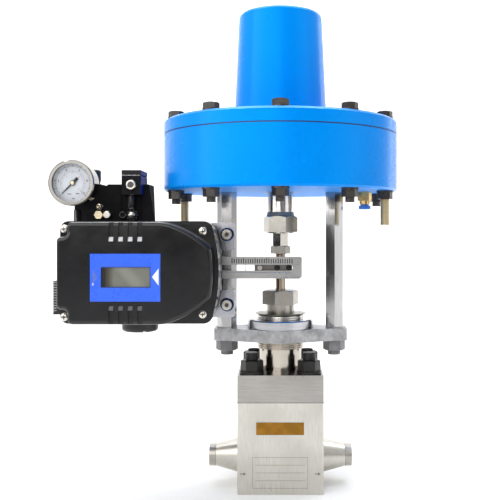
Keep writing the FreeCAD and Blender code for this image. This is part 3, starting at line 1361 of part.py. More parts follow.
def make_regulator():
    """The filter regulator: casting with a sloping flank, ribs and ports, dome, knob and bowl."""
    top = reg_top
    margin = D.cut_margin
    dip = top - D.reg_notch_drop
    notch_left = pivot_x - D.reg_notch_left
    notch_right = pivot_x - D.reg_notch_right
    face_view = plate([(reg_left, reg_bottom), (reg_right, reg_bottom),
                       (reg_right - D.reg_taper, top), (notch_right + D.reg_notch_drop, top),
                       (notch_right, dip), (notch_left, dip), (notch_left, top),
                       (reg_left + D.reg_edge, top), (reg_left, top - D.reg_edge)],
                      D.reg_back + D.reg_front, (0, D.reg_back, 0), FRONT)
    plan_view = plate([(reg_left, reg_face), (reg_right, reg_face),
                       (reg_right - D.reg_back_taper, D.reg_back), (reg_left, D.reg_back)],
                      D.reg_height, (0, 0, reg_bottom))
    casting = common(face_view, plan_view)
    corner = cylinder(D.reg_corner_radius, D.reg_height / 3,
                      (reg_left + D.reg_corner_radius, reg_face, reg_bottom))
    pad = box((pivot_x - D.reg_pad_right - D.reg_rib_width, reg_face - D.reg_rib_depth,
               reg_bottom), (pivot_x - D.reg_pad_right, reg_face + margin, top - margin))
    rib = box((pivot_x - D.reg_rib_shift, reg_face - D.reg_rib_depth, reg_bottom),
              (pivot_x - D.reg_rib_shift + D.reg_rib_width, reg_face + margin,
               reg_bottom + D.block_foot))
    boss = cylinder(D.port_boss_radius, D.port_boss_length,
                    (pivot_x - D.plug_port, reg_face, port_level), FRONT)
    dark_port = cylinder(D.port_plug_radius, D.port_boss_length,
                         (pivot_x - D.dark_port, reg_face, port_level), FRONT)
    dome = cylinder(D.reg_dome_radius, D.reg_dome_height + margin,
                    (pivot_x - D.reg_axis, D.reg_axis_y, top - margin))
    stem_hole = cylinder(D.gauge_stem + D.thread_gap, D.gauge_stem_depth + 2 * margin,
                         (gauge_x, reg_face - margin, gauge_level - D.gauge_stem_drop), BACK)
    body = cut(fuse(casting, corner, pad, rib, boss, dark_port, dome), stem_hole)
    node("regulator_body", body)
    foot = top + D.reg_dome_height
    knob = turned([(0, 0), (D.knob_radius, 0), (D.knob_radius, D.knob_height - D.knob_edge),
                   (D.knob_radius - D.knob_edge, D.knob_height), (0, D.knob_height)])
    doc.recompute()
    sketch = new_sketch(knob, "XY_Plane")
    draw_circle(sketch, 0, D.knob_radius + D.knob_flute_radius / 2, D.knob_flute_radius)
    doc.recompute()
    flute = knob.newObject("PartDesign::Pocket", "Flute")
    flute.Profile = sketch
    flute.Reversed = True
    bind(flute, "Length", D.knob_height + margin)
    repeated(knob, [flute], D.knob_flutes)
    node("regulator_knob", place(knob, (pivot_x - D.reg_axis, D.reg_axis_y, foot)))
    node("filter_bowl", turned([(0, 0), (D.bowl_radius, 0),
                                (D.bowl_radius, D.bowl_length - D.bowl_end),
                                (D.bowl_radius - D.bowl_end, D.bowl_length, D.bowl_end),
                                (0, D.bowl_length)],
                               (pivot_x - D.reg_axis, D.reg_axis_y, reg_bottom), DOWN))


block_left = pivot_x - D.block_left
block_right = pivot_x - D.block_right
block_bottom = reg_bottom + D.block_foot
block_top = block_bottom + D.block_height
block_front = reg_face - D.block_depth


def make_relay_block():
    """A square valve block on the regulator's front edge, with a groove under its head."""
    margin = D.cut_margin
    groove = D.block_groove
    front_part = box((block_left, block_front, block_bottom), (block_right, reg_face, reg_top))
    head_top = block_top + D.block_cap
    head = box((block_left, block_front, reg_top),
               (block_right, reg_face + D.block_reach, head_top))
    front_groove = box((block_left - margin, block_front - margin, block_top),
                       (block_right + margin, block_front + groove, block_top + groove))
    side_groove = box((block_right - groove, block_front - margin, block_top),
                      (block_right + margin, reg_face + D.block_reach + margin,
                       block_top + groove))
    node("relay_block", cut(fuse(front_part, head), front_groove, side_groove))


def make_fittings():
    """Plugs and fittings in the regulator's front, and the tube up to the relay block."""
    port = (pivot_x - D.brass_port, reg_face, port_level)
    brass = hexagon(D.brass_flats, D.brass_length, port, FRONT)
    edge = D.block_screw_edge
    relay_screw = turned([(0, 0), (D.block_screw_radius, 0),
                          (D.block_screw_radius, D.block_screw_proud - edge),
                          (D.block_screw_radius - edge, D.block_screw_proud),
                          (0, D.block_screw_proud)],
                         ((block_left + block_right) / 2, block_front,
                          (block_bottom + block_top) / 2), FRONT)
    node("brass_fittings", group([brass, relay_screw]))
    tip = D.block_screw_edge
    plug = turned([(0, 0), (D.steel_plug_radius, 0),
                   (D.steel_plug_radius, D.steel_plug_length - tip),
                   (D.steel_plug_radius - tip, D.steel_plug_length), (0, D.steel_plug_length)],
                  (pivot_x - D.steel_port, reg_face, port_level), FRONT)
    round_plug = cylinder(D.port_plug_radius, D.port_plug_length,
                          (pivot_x - D.plug_port, reg_face - D.port_boss_length, port_level),
                          FRONT)
    breather = cylinder(D.breather_radius, D.breather_length,
                        (pivot_x - D.brass_port, reg_face, port_level + D.breather_rise), FRONT)
    tube_foot = port_level + D.port_boss_radius + D.loose_gap
    tube = cylinder(D.stub_radius, block_bottom - tube_foot,
                    (pivot_x - D.plug_port, block_front + D.stub_setback, tube_foot))
    node("steel_fittings", group([plug, round_plug, breather, tube]))


def make_gauge():
    """The pressure gauge: case with its stem, bezel, dial, glass and pointer."""
    x, z = gauge_x, gauge_level
    wall = D.gauge_radius - D.gauge_wall
    depth = D.gauge_depth
    rim = D.gauge_rim
    edge = D.gauge_back_edge
    outer = D.gauge_radius - D.gauge_wall / 2
    seat = wall - D.cut_margin
    floor = depth - rim - D.dial_depth
    case = turned([(0, 0), (outer - edge, 0), (outer, edge), (outer, depth - rim),
                   (seat, depth - rim), (seat, floor), (0, floor)], (x, gauge_back, z), FRONT)
    stem = cylinder(D.gauge_stem, D.gauge_reach + D.gauge_stem_depth + D.cut_margin,
                    (x, gauge_back - D.cut_margin, z - D.gauge_stem_drop), BACK)
    node("gauge_case", fuse(case, stem))
    lip = seat - D.gauge_wall / 2
    groove = rim - D.glass_setback
    node("gauge_bezel", turned([(seat, 0), (D.gauge_radius, 0), (D.gauge_radius, groove),
                                (D.gauge_radius - D.glass_setback, rim), (lip, rim),
                                (lip, groove), (seat, groove)],
                               (x, gauge_front + rim, z), FRONT))
    dial_back = gauge_front + rim + D.dial_depth
    node("gauge_dial", ring(seat - D.thread_gap, D.dial_hole, D.dial_thickness,
                            (x, dial_back, z), FRONT))
    node("gauge_glass", cylinder(seat - D.thread_gap, D.glass_thickness,
                                 (x, gauge_front + D.glass_setback + D.glass_thickness, z),
                                 FRONT))
    pointer_back = dial_back - D.dial_thickness - D.loose_gap
    half = D.pointer_width / 2
    middle = D.pointer_length / 2
    arm = plate([(-D.pointer_tail, -D.pointer_width), (-half, -D.pointer_width),
                 (0, -half), (middle, -half), (D.pointer_length, 0), (middle, half), (0, half),
                 (-half, D.pointer_width), (-D.pointer_tail, D.pointer_width)],
                D.pointer_thickness, (x, pointer_back, z),
                FRONT.multiply(turn(D.pointer_angle.value)))
    hub = cylinder(D.pointer_hub, D.pointer_thickness + D.pointer_hub_proud,
                   (x, pointer_back, z), FRONT)
    spindle = cylinder(D.spindle_radius, D.dial_thickness + D.loose_gap - D.thread_gap,
                       (x, pointer_back, z), BACK)
    node("gauge_pointer", fuse(arm, hub, spindle))


def build():
    make_body_block()
    make_seat_ring()
    make_bonnet_gasket()
    make_bonnet()
    make_bonnet_fasteners()
    make_packing()
    make_gland()
    make_yoke_plate()
    make_yoke_locknut()
    make_pillar("left_pillar", -D.pillar_offset, 0, mount_hole=True)
    make_pillar("right_pillar", D.pillar_offset, 30)
    make_pillar_nuts()
    make_lower_case()
    make_top_cover()
    make_spring_barrel()
    make_case_fasteners()
    make_diaphragm()
    make_spring()
    make_actuator_trim()
    make_air_fitting()
    make_release_ring()
    make_actuator_rod()
    make_diaphragm_plates()
    make_coupling_nut()
    make_stem_adapter()
    make_stem_lock_nut()
    make_valve_stem()
    make_feedback_clamp()
    make_feedback_lever()
    make_positioner_base()
    make_positioner_insides()
    make_positioner_seal()
    make_positioner_cover()
    make_cover_screws()
    make_display()
    make_plugs()
    make_bracket()
    make_bracket_screws()
    make_regulator()
    make_relay_block()
    make_fittings()
    make_gauge()


def write_parts():
    """Stops at the first object that failed, and writes each piece to its own file."""
    doc.recompute()
    for thing in doc.Objects:
        if "Invalid" in thing.State or "Error" in thing.State:
            raise RuntimeError(f"{thing.Label} failed: {thing.State}")
    for label, thing in nodes.items():
        shape = thing.Shape
        if shape.isNull() or not shape.isValid() or not shape.Solids:
            raise RuntimeError(f"{label} has no valid solid")
        shape.exportStep(f"parts/{label}.step")
        print(f"{label:22s} solids {len(shape.Solids):2d} volume {shape.Volume:12.1f}")


build()
write_parts()
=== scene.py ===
import math

import bpy
from mathutils import Matrix, Vector


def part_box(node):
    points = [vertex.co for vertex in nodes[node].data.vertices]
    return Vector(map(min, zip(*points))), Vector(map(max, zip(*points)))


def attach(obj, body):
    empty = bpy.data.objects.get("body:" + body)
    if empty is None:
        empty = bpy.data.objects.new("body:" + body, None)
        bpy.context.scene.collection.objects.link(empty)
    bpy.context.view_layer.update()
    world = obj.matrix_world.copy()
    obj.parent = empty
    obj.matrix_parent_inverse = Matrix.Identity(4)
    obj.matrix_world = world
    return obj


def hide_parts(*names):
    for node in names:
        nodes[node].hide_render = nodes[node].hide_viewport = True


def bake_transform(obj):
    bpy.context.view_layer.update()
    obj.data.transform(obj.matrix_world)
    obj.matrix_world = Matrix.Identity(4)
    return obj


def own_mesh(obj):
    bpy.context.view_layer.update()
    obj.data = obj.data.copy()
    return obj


# Looks of the control valve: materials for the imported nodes, fine detail that rides on their
# bodies, a pale studio and a camera at the photograph's viewpoint. Metres, +Z up, front at -Y.

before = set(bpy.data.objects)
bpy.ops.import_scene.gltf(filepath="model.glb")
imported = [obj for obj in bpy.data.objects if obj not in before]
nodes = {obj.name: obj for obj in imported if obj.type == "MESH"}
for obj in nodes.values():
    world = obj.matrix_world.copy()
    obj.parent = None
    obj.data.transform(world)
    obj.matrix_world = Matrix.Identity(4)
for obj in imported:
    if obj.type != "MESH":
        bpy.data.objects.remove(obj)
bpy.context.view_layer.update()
MM = 0.001

# The photograph's camera in pixels and metres
FOCAL = 768
PRINCIPAL_U = 280.5
PRINCIPAL_V = 230
CAMERA_Y = -0.768
CAMERA_Z = 0.2508
FRAME = 500
SENSOR_WIDTH = 36

# Sizes from the part's source that the detail follows
STUD_RADIUS = 6 * MM
YOKE_THREAD_RADIUS = 22.5 * MM
YOKE_THREAD_GAP = 8 * MM
NECK_RADIUS = 21.25 * MM
NECK_LENGTH = 21 * MM
PIPE_RADIUS = 10.85 * MM
PIPE_LAND = 6.5 * MM
PIPE_LEVEL = 26.5 * MM
CASE_BOLTS = 10
LONG_BOLTS = (2, 7)
CASE_BOLT_RADIUS = 4 * MM
CASE_BOLT_HEAD_CORNER = 8 * MM
STEM_RADIUS = 5 * MM
ROD_RADIUS = 13 * MM
COUPLING_TAPER = 3.9 * MM
COUPLING_TAPER_FOOT = 14 * MM
LEVER_LIP = 3.5 * MM
COVER_HEAD_RADIUS = 3.55 * MM
VENT_HEIGHT = 31 * MM
VENT_FRONT = 12 * MM
BRACKET_THICKNESS = 5 * MM
BRACKET_HEAD_RADIUS = 4.9 * MM
BRACKET_HEAD_HEIGHT = 6 * MM
BRACKET_WASHER = 1.4 * MM
BRACKET_WASHER_RADIUS = 6.6 * MM
BRACKET_SCREW_RISE = 32.4 * MM
BRACKET_SCREW_DROP = 36.5 * MM
RELAY_DEPTH = 14 * MM
RELAY_CAP = 5.2 * MM
RELAY_SHELF = 12.7 * MM
RELAY_SCREW_RADIUS = 4.8 * MM
PORT_RISE = 7.3 * MM
PORT_FACE = 10 * MM
TUBE_OFFSET = 37.2 * MM
BLANK_PORT_OFFSET = 46.2 * MM
BREATHER_OFFSET = 69.2 * MM
BREATHER_RISE = 8.2 * MM

# Sizes of the detail itself
M12_PITCH = 1.75 * MM
FINE_PITCH = 1.25 * MM
YOKE_PITCH = 2 * MM
YOKE_THREAD_DEPTH = 0.35 * MM
STEM_THREAD = 5 * MM
STEM_THREAD_DEPTH = 0.2 * MM
BACK_STUD_END = 2 * MM
SKIN = 0.05 * MM
INK = 0.06 * MM
COUPLING_LINES = (0.12, 0.5, 0.92)
BRACKET_SOCKET = 2.2 * MM
VENT_LINES = 12
GROOVES = 4
LEVER_TICKS = 27
RELAY_RIBS = 13
COLLAR_TEETH = 10

# Places on the object, in the photograph's pixels
PLATE_CORNERS = ((256.2, 422.5), (304.0, 435.0))
ETCHED_CORNERS = ((252.4, 457.4), (307.9, 488.5))
ARROWS = (("inlet_arrow", 243.3), ("outlet_arrow", 318.0))
ARROW_V = 474.0
LEGENDS = ((69.3, 194.0, 1.7 * MM), (77.5, 193.6, 1.7 * MM), (73.4, 198.6, 1.3 * MM))
COVER_HEADS = ((64.4, 228.8), (65.2, 317.2), (203.2, 231.4), (203.8, 314.5))
# The grooves' sloped ends are painted highlights: pale on the upper row, dim grey on the lower.
GROOVE_ENDS = (("top", 239.2, "pale_end"), ("bottom", 308.4, "grey_end"))
GROOVE_U = 110.9
GROOVE_STEP_U = 9.6
# The glint is a painted highlight: a small pale spot in the white print's colour.
LABEL_MARKS = (
    ("right", ((152.0, 277.0), (158.6, 285.6), (158.6, 268.4)), "white_ink_and_glint"),
    ("left", ((92.4, 269.6), (92.4, 284.6), (97.6, 277.2)), "faded_ink"),
    ("glint", ((92.2, 282.4), (92.2, 286.0), (93.9, 284.0)), "white_ink_and_glint"))
LEVER_SCALE = ((232, 258.2), (292, 263.4))
LEVER_DIVIDER = ((245.6, 264.3), (245.6, 271.0))


UP = (0, 0, 1)
FRONT = (0, -1, 0)


# Materials

class Look:
    """A material and short calls for the nodes that it is made of."""

    def __init__(self, name, color, metallic=0.0, rough=0.5, coat=0.0, specular=0.5):
        self.material = bpy.data.materials.new(name)
        self.material.use_nodes = True
        self.tree = self.material.node_tree
        self.shader = self.tree.nodes["Principled BSDF"]
        self.place = self.tree.nodes.new("ShaderNodeTexCoord").outputs["Object"]
        self.color = color
        self.height = None
        sockets = self.shader.inputs
        sockets["Base Color"].default_value = (*color, 1)
        sockets["Metallic"].default_value = metallic
        sockets["Roughness"].default_value = rough
        sockets["Coat Weight"].default_value = coat
        sockets["Coat Roughness"].default_value = 0.1
        sockets["Specular IOR Level"].default_value = specular

    def node(self, kind, **values):
        made = self.tree.nodes.new(kind)
        for key, value in values.items():
            setattr(made, key, value)
        return made

    def join(self, output, socket):
        self.tree.links.new(output, socket)

    def noise(self, scale, stretch=(1, 1, 1), detail=3.0):
        """Noise over the object; scale counts features per metre."""
        mapping = self.node("ShaderNodeMapping")
        mapping.inputs["Scale"].default_value = stretch
        self.join(self.place, mapping.inputs["Vector"])
        noise = self.node("ShaderNodeTexNoise")
        noise.inputs["Scale"].default_value = scale
        noise.inputs["Detail"].default_value = detail
        self.join(mapping.outputs["Vector"], noise.inputs["Vector"])
        return noise.outputs["Fac"]

    def cells(self, scale):
        """Flat patches of random value, as on galvanised zinc."""
        cells = self.node("ShaderNodeTexVoronoi")
        cells.inputs["Scale"].default_value = scale
        self.join(self.place, cells.inputs["Vector"])
        split = self.node("ShaderNodeSeparateColor")
        self.join(cells.outputs["Color"], split.inputs["Color"])
        return split.outputs["Red"]

    def spread(self, value, low, high, start=0.3, end=0.7):
        """Maps a value from start..end, a noise's middle range, to low..high."""
        ranged = self.node("ShaderNodeMapRange")
        ranged.inputs["From Min"].default_value = start
        ranged.inputs["From Max"].default_value = end
        ranged.inputs["To Min"].default_value = low
        ranged.inputs["To Max"].default_value = high
        self.join(value, ranged.inputs["Value"])
        return ranged.outputs["Result"]

    def upward(self):
        """How far a face looks up: 1 for a top, -1 for an underside."""
        split = self.node("ShaderNodeSeparateXYZ")
        self.join(self.node("ShaderNodeNewGeometry").outputs["Normal"], split.inputs["Vector"])
        return split.outputs["Z"]

    def along(self, direction, start, end):
        """From 0 to 1 between two places on a line through the object, in metres."""
        dot = self.node("ShaderNodeVectorMath", operation="DOT_PRODUCT")
        self.join(self.place, dot.inputs[0])
        dot.inputs[1].default_value = direction
        return self.spread(dot.outputs["Value"], 0.0, 1.0, start, end)

    def tint(self, value, other, start=0.35, end=0.65, most=1.0):
        """Mixes another colour in where the value is high; further calls add to it."""
        mix = self.node("ShaderNodeMix", data_type="RGBA")
        socket = self.shader.inputs["Base Color"]
        if socket.is_linked:
            self.join(socket.links[0].from_socket, mix.inputs[6])
        else:
            mix.inputs[6].default_value = (*self.color, 1)
        mix.inputs[7].default_value = (*other, 1)
        self.join(self.spread(value, 0.0, most, start, end), mix.inputs[0])
        self.join(mix.outputs[2], socket)
        return self

    def roughen(self, value, low, high):
        self.join(self.spread(value, low, high), self.shader.inputs["Roughness"])
        return self

    def bump(self, value, depth):
        """Relief of the given depth in metres; further calls add to it."""
        bump = self.node("ShaderNodeBump")
        bump.inputs["Distance"].default_value = depth
        self.join(value, bump.inputs["Height"])
        if self.height is not None:
            self.join(self.height, bump.inputs["Normal"])
        self.height = bump.outputs["Normal"]
        self.join(self.height, self.shader.inputs["Normal"])
        return self


def shade(color, factor):
    return tuple(min(1.0, channel * factor) for channel in color)


def metal(name, color, rough, stretch=(1, 1, 1), grain=320, depth=0.00002, dirt=0.72,
          wear=0.08):
    """Machined metal with fine streaks across the stretched axis and broad soft stains."""
    look = Look(name, color, metallic=1.0, rough=rough)
    streaks = look.noise(grain, stretch, detail=4)
    stains = look.noise(28, detail=4)
    look.tint(streaks, shade(color, dirt), 0.42, 0.75, 0.6)
    look.tint(stains, shade(color, 0.86), 0.45, 0.7, 0.7)
    look.roughen(stains, max(0.04, rough - wear), rough + wear)
    look.bump(streaks, depth)
    return look.material


def turned(name, color, rough, **rest):
    """Turned about Z: streaks run round the axis."""
    return metal(name, color, rough, (0.15, 0.15, 5), **rest)


def paint(name, color, rough, peel=0.00003, dirt=0.9):
    """Sprayed paint with orange peel, faint dust and a matt underside; its shine is blue."""
    look = Look(name, color, rough=rough, specular=0.6)
    look.shader.inputs["Specular Tint"].default_value = (0.02, 0.55, 1.0, 1)
    look.tint(look.noise(14, detail=5), shade(color, dirt), 0.4, 0.7, 0.8)
    below = look.spread(look.upward(), 0.5, 0.0, -0.95, -0.6)
    uneven = look.spread(look.noise(40, detail=3), rough - 0.03, rough + 0.04)
    rougher = look.node("ShaderNodeMath", operation="MAXIMUM")
    look.join(below, rougher.inputs[0])
    look.join(uneven, rougher.inputs[1])
    look.join(rougher.outputs["Value"], look.shader.inputs["Roughness"])
    look.bump(look.noise(300, detail=2), peel)
    return look.material


def cast(name, color, rough, grain=700, depth=0.0001, specular=0.5, top_sheen=None):
    """Powder-coated casting with a pebbled skin, and a painted highlight on what looks up if a
    sheen colour is given.
    """
    look = Look(name, color, rough=rough, specular=specular)
    look.tint(look.noise(90, detail=4), shade(color, 1.7), 0.45, 0.75, 0.8)
    if top_sheen:
        # Painted highlight: faces that look up are paled, standing in for the overhead light's
        # reflection on top edges.
        look.tint(look.upward(), top_sheen, 0.75, 0.98)
    look.roughen(look.noise(35), rough - 0.06, rough + 0.08)
    look.bump(look.noise(grain, detail=3), depth)
    return look.material


def plastic(name, color, rough, fleck=1.2, grain=900, depth=0.00002, coat=0.0):
    """Moulded plastic or rubber with a faint grain."""
    look = Look(name, color, rough=rough, coat=coat)
    look.tint(look.noise(120, detail=3), shade(color, fleck), 0.4, 0.7, 0.8)
    look.roughen(look.noise(70), rough - 0.05, rough + 0.05)
    look.bump(look.noise(grain, detail=2), depth)
    return look.material


def galvanised(name, color, rough):
    """Zinc with its patches of crystal and a dull bloom."""
    look = Look(name, color, metallic=1.0, rough=rough)
    patches = look.cells(420)
    bloom = look.noise(120, detail=5)
    look.tint(patches, shade(color, 0.7), 0.1, 0.9, 0.5)
    look.tint(bloom, shade(color, 0.6), 0.42, 0.68, 0.8)
    look.roughen(bloom, rough - 0.1, rough + 0.14)
    look.bump(bloom, 0.00012)
    look.bump(look.noise(600), 0.00004)
    return look.material


def screen(name, color, low, high):
    """A grey liquid crystal with a painted shadow darkening its left end and a painted highlight
    as a paler slanting band.
    """
    look = Look(name, color, rough=0.2, coat=0.4)
    wide = high.x - low.x
    look.tint(look.noise(120, detail=3), shade(color, 0.85), 0.4, 0.7, 0.8)
    slant = (0.77, 0, 0.64)
    band = slant[0] * (low.x + wide * 0.55) + slant[2] * low.z
    across = (1, 0, 0)
    # The first two steps paint the slanting highlight; the last two paint the shadow at the left
    # end.
    for direction, start, end, other in (
            (slant, band, band + wide * 0.12, shade(color, 1.35)),
            (slant, band + wide * 0.2, band + wide * 0.34, color),
            (across, low.x + wide * 0.26, low.x + wide * 0.13, (0.045, 0.04, 0.03)),
            (across, low.x + wide * 0.11, low.x + wide * 0.06, (0.008, 0.008, 0.008))):
        look.tint(look.along(direction, start, end), other, 0, 1)
    return look.material


def glass(name):
    """The gauge's glass, clear with faint smears."""
    look = Look(name, (1, 1, 1), rough=0.03)
    look.shader.inputs["Transmission Weight"].default_value = 1.0
    look.shader.inputs["IOR"].default_value = 1.02
    look.roughen(look.noise(90), 0.0, 0.004)
    return look.material


STEEL = (0.62, 0.595, 0.55)
materials = {
    "body": metal("forged_body_ground", (0.62, 0.60, 0.54), 0.33, (7, 7, 0.5), grain=150,
                  depth=0.00003),
    "bonnet": metal("bonnet_ground", (0.36, 0.345, 0.325), 0.22, (0.3, 0.3, 6), grain=150,
                    depth=0.00003),
    "turned": turned("turned_stainless", STEEL, 0.24),
    "polished": turned("polished_stainless", (0.72, 0.70, 0.67), 0.14, depth=0.000008),
    "drawn": metal("drawn_hexagon_bar", (0.54, 0.535, 0.53), 0.13, (5, 5, 0.2),
                   depth=0.00001, wear=0.06),
    "nut": metal("machined_nut", (0.52, 0.50, 0.47), 0.28, (2, 2, 1), depth=0.00002),
    "hex_steel": metal("bright_hexagon_bar", (0.56, 0.53, 0.48), 0.24, (2, 2, 1),
                       depth=0.00002),
    "gland_steel": metal("gland_hexagon_bar", (0.42, 0.395, 0.35), 0.3, (2, 2, 1),
                         depth=0.00002),
    "olive": turned("olive_spring_steel", (0.21, 0.20, 0.15), 0.3),
    "ring_steel": turned("ground_ring", (0.56, 0.56, 0.58), 0.24, grain=220),
    "stem_steel": metal("drawn_stem", (0.46, 0.38, 0.30), 0.16, (6, 6, 0.2), depth=0.00001),
    "dark_steel": metal("worn_clamp", (0.20, 0.185, 0.17), 0.34, (0.6, 1, 6)),
    "sheet": metal("brushed_sheet", (0.47, 0.465, 0.455), 0.26, (0.3, 6, 6), depth=0.00001),
    "zinc": galvanised("galvanised_plate", (0.43, 0.43, 0.435), 0.4),
    "plated": metal("zinc_plated_sheet", (0.56, 0.56, 0.60), 0.17, (1, 1, 1), grain=90,
                    depth=0.00002, wear=0.06),
    "oxide": cast("black_oxide_steel", (0.012, 0.011, 0.010), 0.34, depth=0.00002,
                  specular=0.3),
    "bolt": cast("dark_oiled_bolt", (0.027, 0.022, 0.018), 0.24, depth=0.00003),
    "yellow_zinc": turned("yellow_zinc_bolt", (0.50, 0.39, 0.22), 0.3),
    "blue": paint("azure_enamel", (0.0005, 0.245, 0.80), 0.24),
    "blue_cast": paint("azure_enamel_casting", (0.0005, 0.235, 0.78), 0.26, peel=0.00002),
    # The glossy cover's paler top is a painted highlight from the light overhead.
    "black_gloss": cast("black_gloss_cover", (0.006, 0.006, 0.0065), 0.13, grain=260,
                        depth=0.00003, specular=0.5, top_sheen=(0.26, 0.26, 0.27)),
    "black_cast": cast("black_cast_base", (0.008, 0.008, 0.009), 0.3, specular=0.3),
    "black_rough": cast("black_rough_casting", (0.011, 0.011, 0.012), 0.66, grain=420,
                        depth=0.0002, specular=0.06),
    "black_shine": cast("black_shining_post", (0.006, 0.006, 0.007), 0.12, specular=0.8,
                        depth=0.00001),
    "black_plastic": plastic("black_moulding", (0.010, 0.010, 0.011), 0.35),
    "rubber": plastic("black_rubber", (0.02, 0.02, 0.02), 0.6),
    "seal": plastic("grey_rubber", (0.10, 0.10, 0.11), 0.6),
    "ptfe": plastic("white_packing", (0.80, 0.80, 0.77), 0.4, fleck=0.9),
    "graphite": plastic("graphite_gasket", (0.05, 0.05, 0.05), 0.45),
    "brass": turned("machined_brass", (0.78, 0.56, 0.24), 0.24),
    "pale_brass": turned("pale_brass", (0.72, 0.62, 0.44), 0.26),
    "nickel": turned("nickel_plating", (0.70, 0.67, 0.60), 0.16),
    "chrome": metal("polished_chrome", (0.25, 0.24, 0.225), 0.1, grain=60, depth=0.000004,
                    dirt=0.8, wear=0.03),
    "aluminium": metal("milled_aluminium", (0.66, 0.66, 0.67), 0.32, (1, 6, 1)),
    "spring": turned("phosphated_spring", (0.13, 0.13, 0.14), 0.42),
    "board": plastic("green_circuit_board", (0.02, 0.16, 0.05), 0.35, fleck=0.6),
    "label": plastic("blue_printed_film", (0.018, 0.115, 0.86), 0.28, fleck=0.85, coat=0.5),
    "screen": screen("grey_liquid_crystal", (0.15, 0.155, 0.13), *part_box("display")),
    "seam": plastic("dark_blue_rubber", (0.003, 0.03, 0.13), 0.5),
    # Dark blue painted on the washers stands in for the blue case's reflection, with shade by the
    # heads.
    "washer": metal("washer_painted_blue_reflection", (0.03, 0.055, 0.14), 0.16),
    "dial": plastic("pale_dial", (0.58, 0.61, 0.66), 0.45, fleck=1.1, depth=0.000004),
    "ink": plastic("black_ink", (0.02, 0.02, 0.022), 0.5),
    # White print, also used for the label's painted glint.
    "white_ink_and_glint": plastic("white_ink_and_glint", (0.78, 0.79, 0.82), 0.45, fleck=0.92),
    "faded_ink": plastic("faded_ink", (0.06, 0.12, 0.45), 0.45),
    "ring_blue": plastic("blue_release_ring", (0.03, 0.16, 0.55), 0.3),
    "glass": glass("gauge_glass"),
    "plate_gold": cast("gold_brown_plate", (0.245, 0.115, 0.012), 0.4, specular=0.1),
    "plate_rim": plastic("gold_brown_rim", (0.22, 0.11, 0.025), 0.35, fleck=0.85),
    "etch": plastic("etched_line", (0.19, 0.15, 0.10), 0.6),
    "joint": plastic("joint_shadow", (0.05, 0.045, 0.04), 0.6),
    # Screw recesses are filled with this dark colour as painted shade.
    "recess": plastic("screw_recess_painted_shade", (0.07, 0.055, 0.05), 0.4),
    "yoke_thread": turned("bronzed_thread", (0.44, 0.385, 0.31), 0.28),
    "zinc_dark": cast("dull_zinc", (0.16, 0.16, 0.165), 0.4, depth=0.0003),
    "red_ink": plastic("red_ink", (0.30, 0.10, 0.16), 0.5),
    "grey_ink": plastic("grey_ink", (0.22, 0.20, 0.19), 0.5),
    "tick": plastic("filled_tick", (0.035, 0.033, 0.03), 0.5),
    # Painted highlights for the grooves' lit sloped ends.
    "pale_end": plastic("groove_end_painted_highlight", (0.50, 0.51, 0.53), 0.35, fleck=0.8),
    "grey_end": plastic("groove_end_painted_dim_highlight", (0.05, 0.05, 0.055), 0.35),
    "label_shadow": plastic("label_shadow", (0.012, 0.04, 0.25), 0.4),
    "navy": cast("navy_cover", (0.001, 0.016, 0.16), 0.45, specular=0.06),
    # Painted highlight for the pale edges of ribs.
    "rib_white": plastic("rib_edge_painted_highlight", (0.42, 0.42, 0.43), 0.4, fleck=0.5),
    "worn_taper": turned("worn_taper", (0.40, 0.35, 0.29), 0.5),
    "neck_steel": turned("turned_neck", (0.52, 0.48, 0.42), 0.13),
    "pipe_land": metal("turned_weld_end", (0.50, 0.47, 0.42), 0.3, (8, 0.4, 0.4),
                       grain=200, depth=0.00003, dirt=0.6),
}

FINISH = {
    "body_block": "body", "bonnet": "bonnet", "seat_ring": "turned",
    "bonnet_gasket": "graphite", "bonnet_nuts": "oxide", "bonnet_studs": "oxide",
    "stem_packing": "ptfe", "gland_nut": "gland_steel", "gland_disc": "olive",
    "yoke_plate": "zinc", "yoke_locknut": "ring_steel", "left_pillar": "drawn",
    "right_pillar": "drawn", "pillar_nuts": "zinc_dark", "lower_case": "blue_cast",
    "top_cover": "blue_cast", "spring_barrel": "blue", "case_bolts": "bolt",
    "long_case_bolts": "bolt", "case_nuts": "bolt", "diaphragm": "seam",
    "return_spring": "spring", "upper_spring_seat": "spring", "rod_bush": "spring",
    "rod_seal": "rubber", "air_fitting": "brass", "release_ring": "ring_blue",
    "actuator_rod": "polished", "diaphragm_plates": "plated", "coupling_nut": "hex_steel",
    "stem_adapter": "hex_steel", "stem_lock_nut": "gland_steel", "valve_stem": "stem_steel",
    "feedback_clamp": "dark_steel", "clamp_screws": "oxide", "feedback_pin": "polished",
    "feedback_lever": "sheet", "positioner_shaft": "turned",
    "positioner_base": "black_cast", "circuit_board": "board", "pilot_valve": "aluminium",
    "cover_gasket": "seal", "positioner_cover": "black_gloss", "cover_screws": "nickel",
    "label_plate": "label", "display": "screen", "port_plugs": "black_plastic",
    "positioner_bracket": "plated", "bracket_screws": "nickel",
    "regulator_body": "black_rough", "regulator_knob": "black_plastic",
    "filter_bowl": "black_cast", "relay_block": "black_rough", "brass_fittings": "pale_brass",
    "steel_fittings": "nickel", "gauge_case": "chrome", "gauge_bezel": "chrome",
    "gauge_dial": "dial", "gauge_glass": "glass", "gauge_pointer": "ink",
}


def dress_nodes():
    """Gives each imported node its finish."""
    for name, finish in FINISH.items():
        for slot in nodes[name].material_slots:
            slot.material = materials[finish]


# Meshes that ride on the bodies

def place(name, mesh, finish, body=None):
    """An object of a mesh with one finish, which rides on the body if one is given."""
    mesh.materials.clear()
    mesh.materials.append(materials[finish])
    made = bpy.data.objects.new(name, mesh)
    bpy.context.scene.collection.objects.link(made)
    if body:
        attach(made, body)
    return made


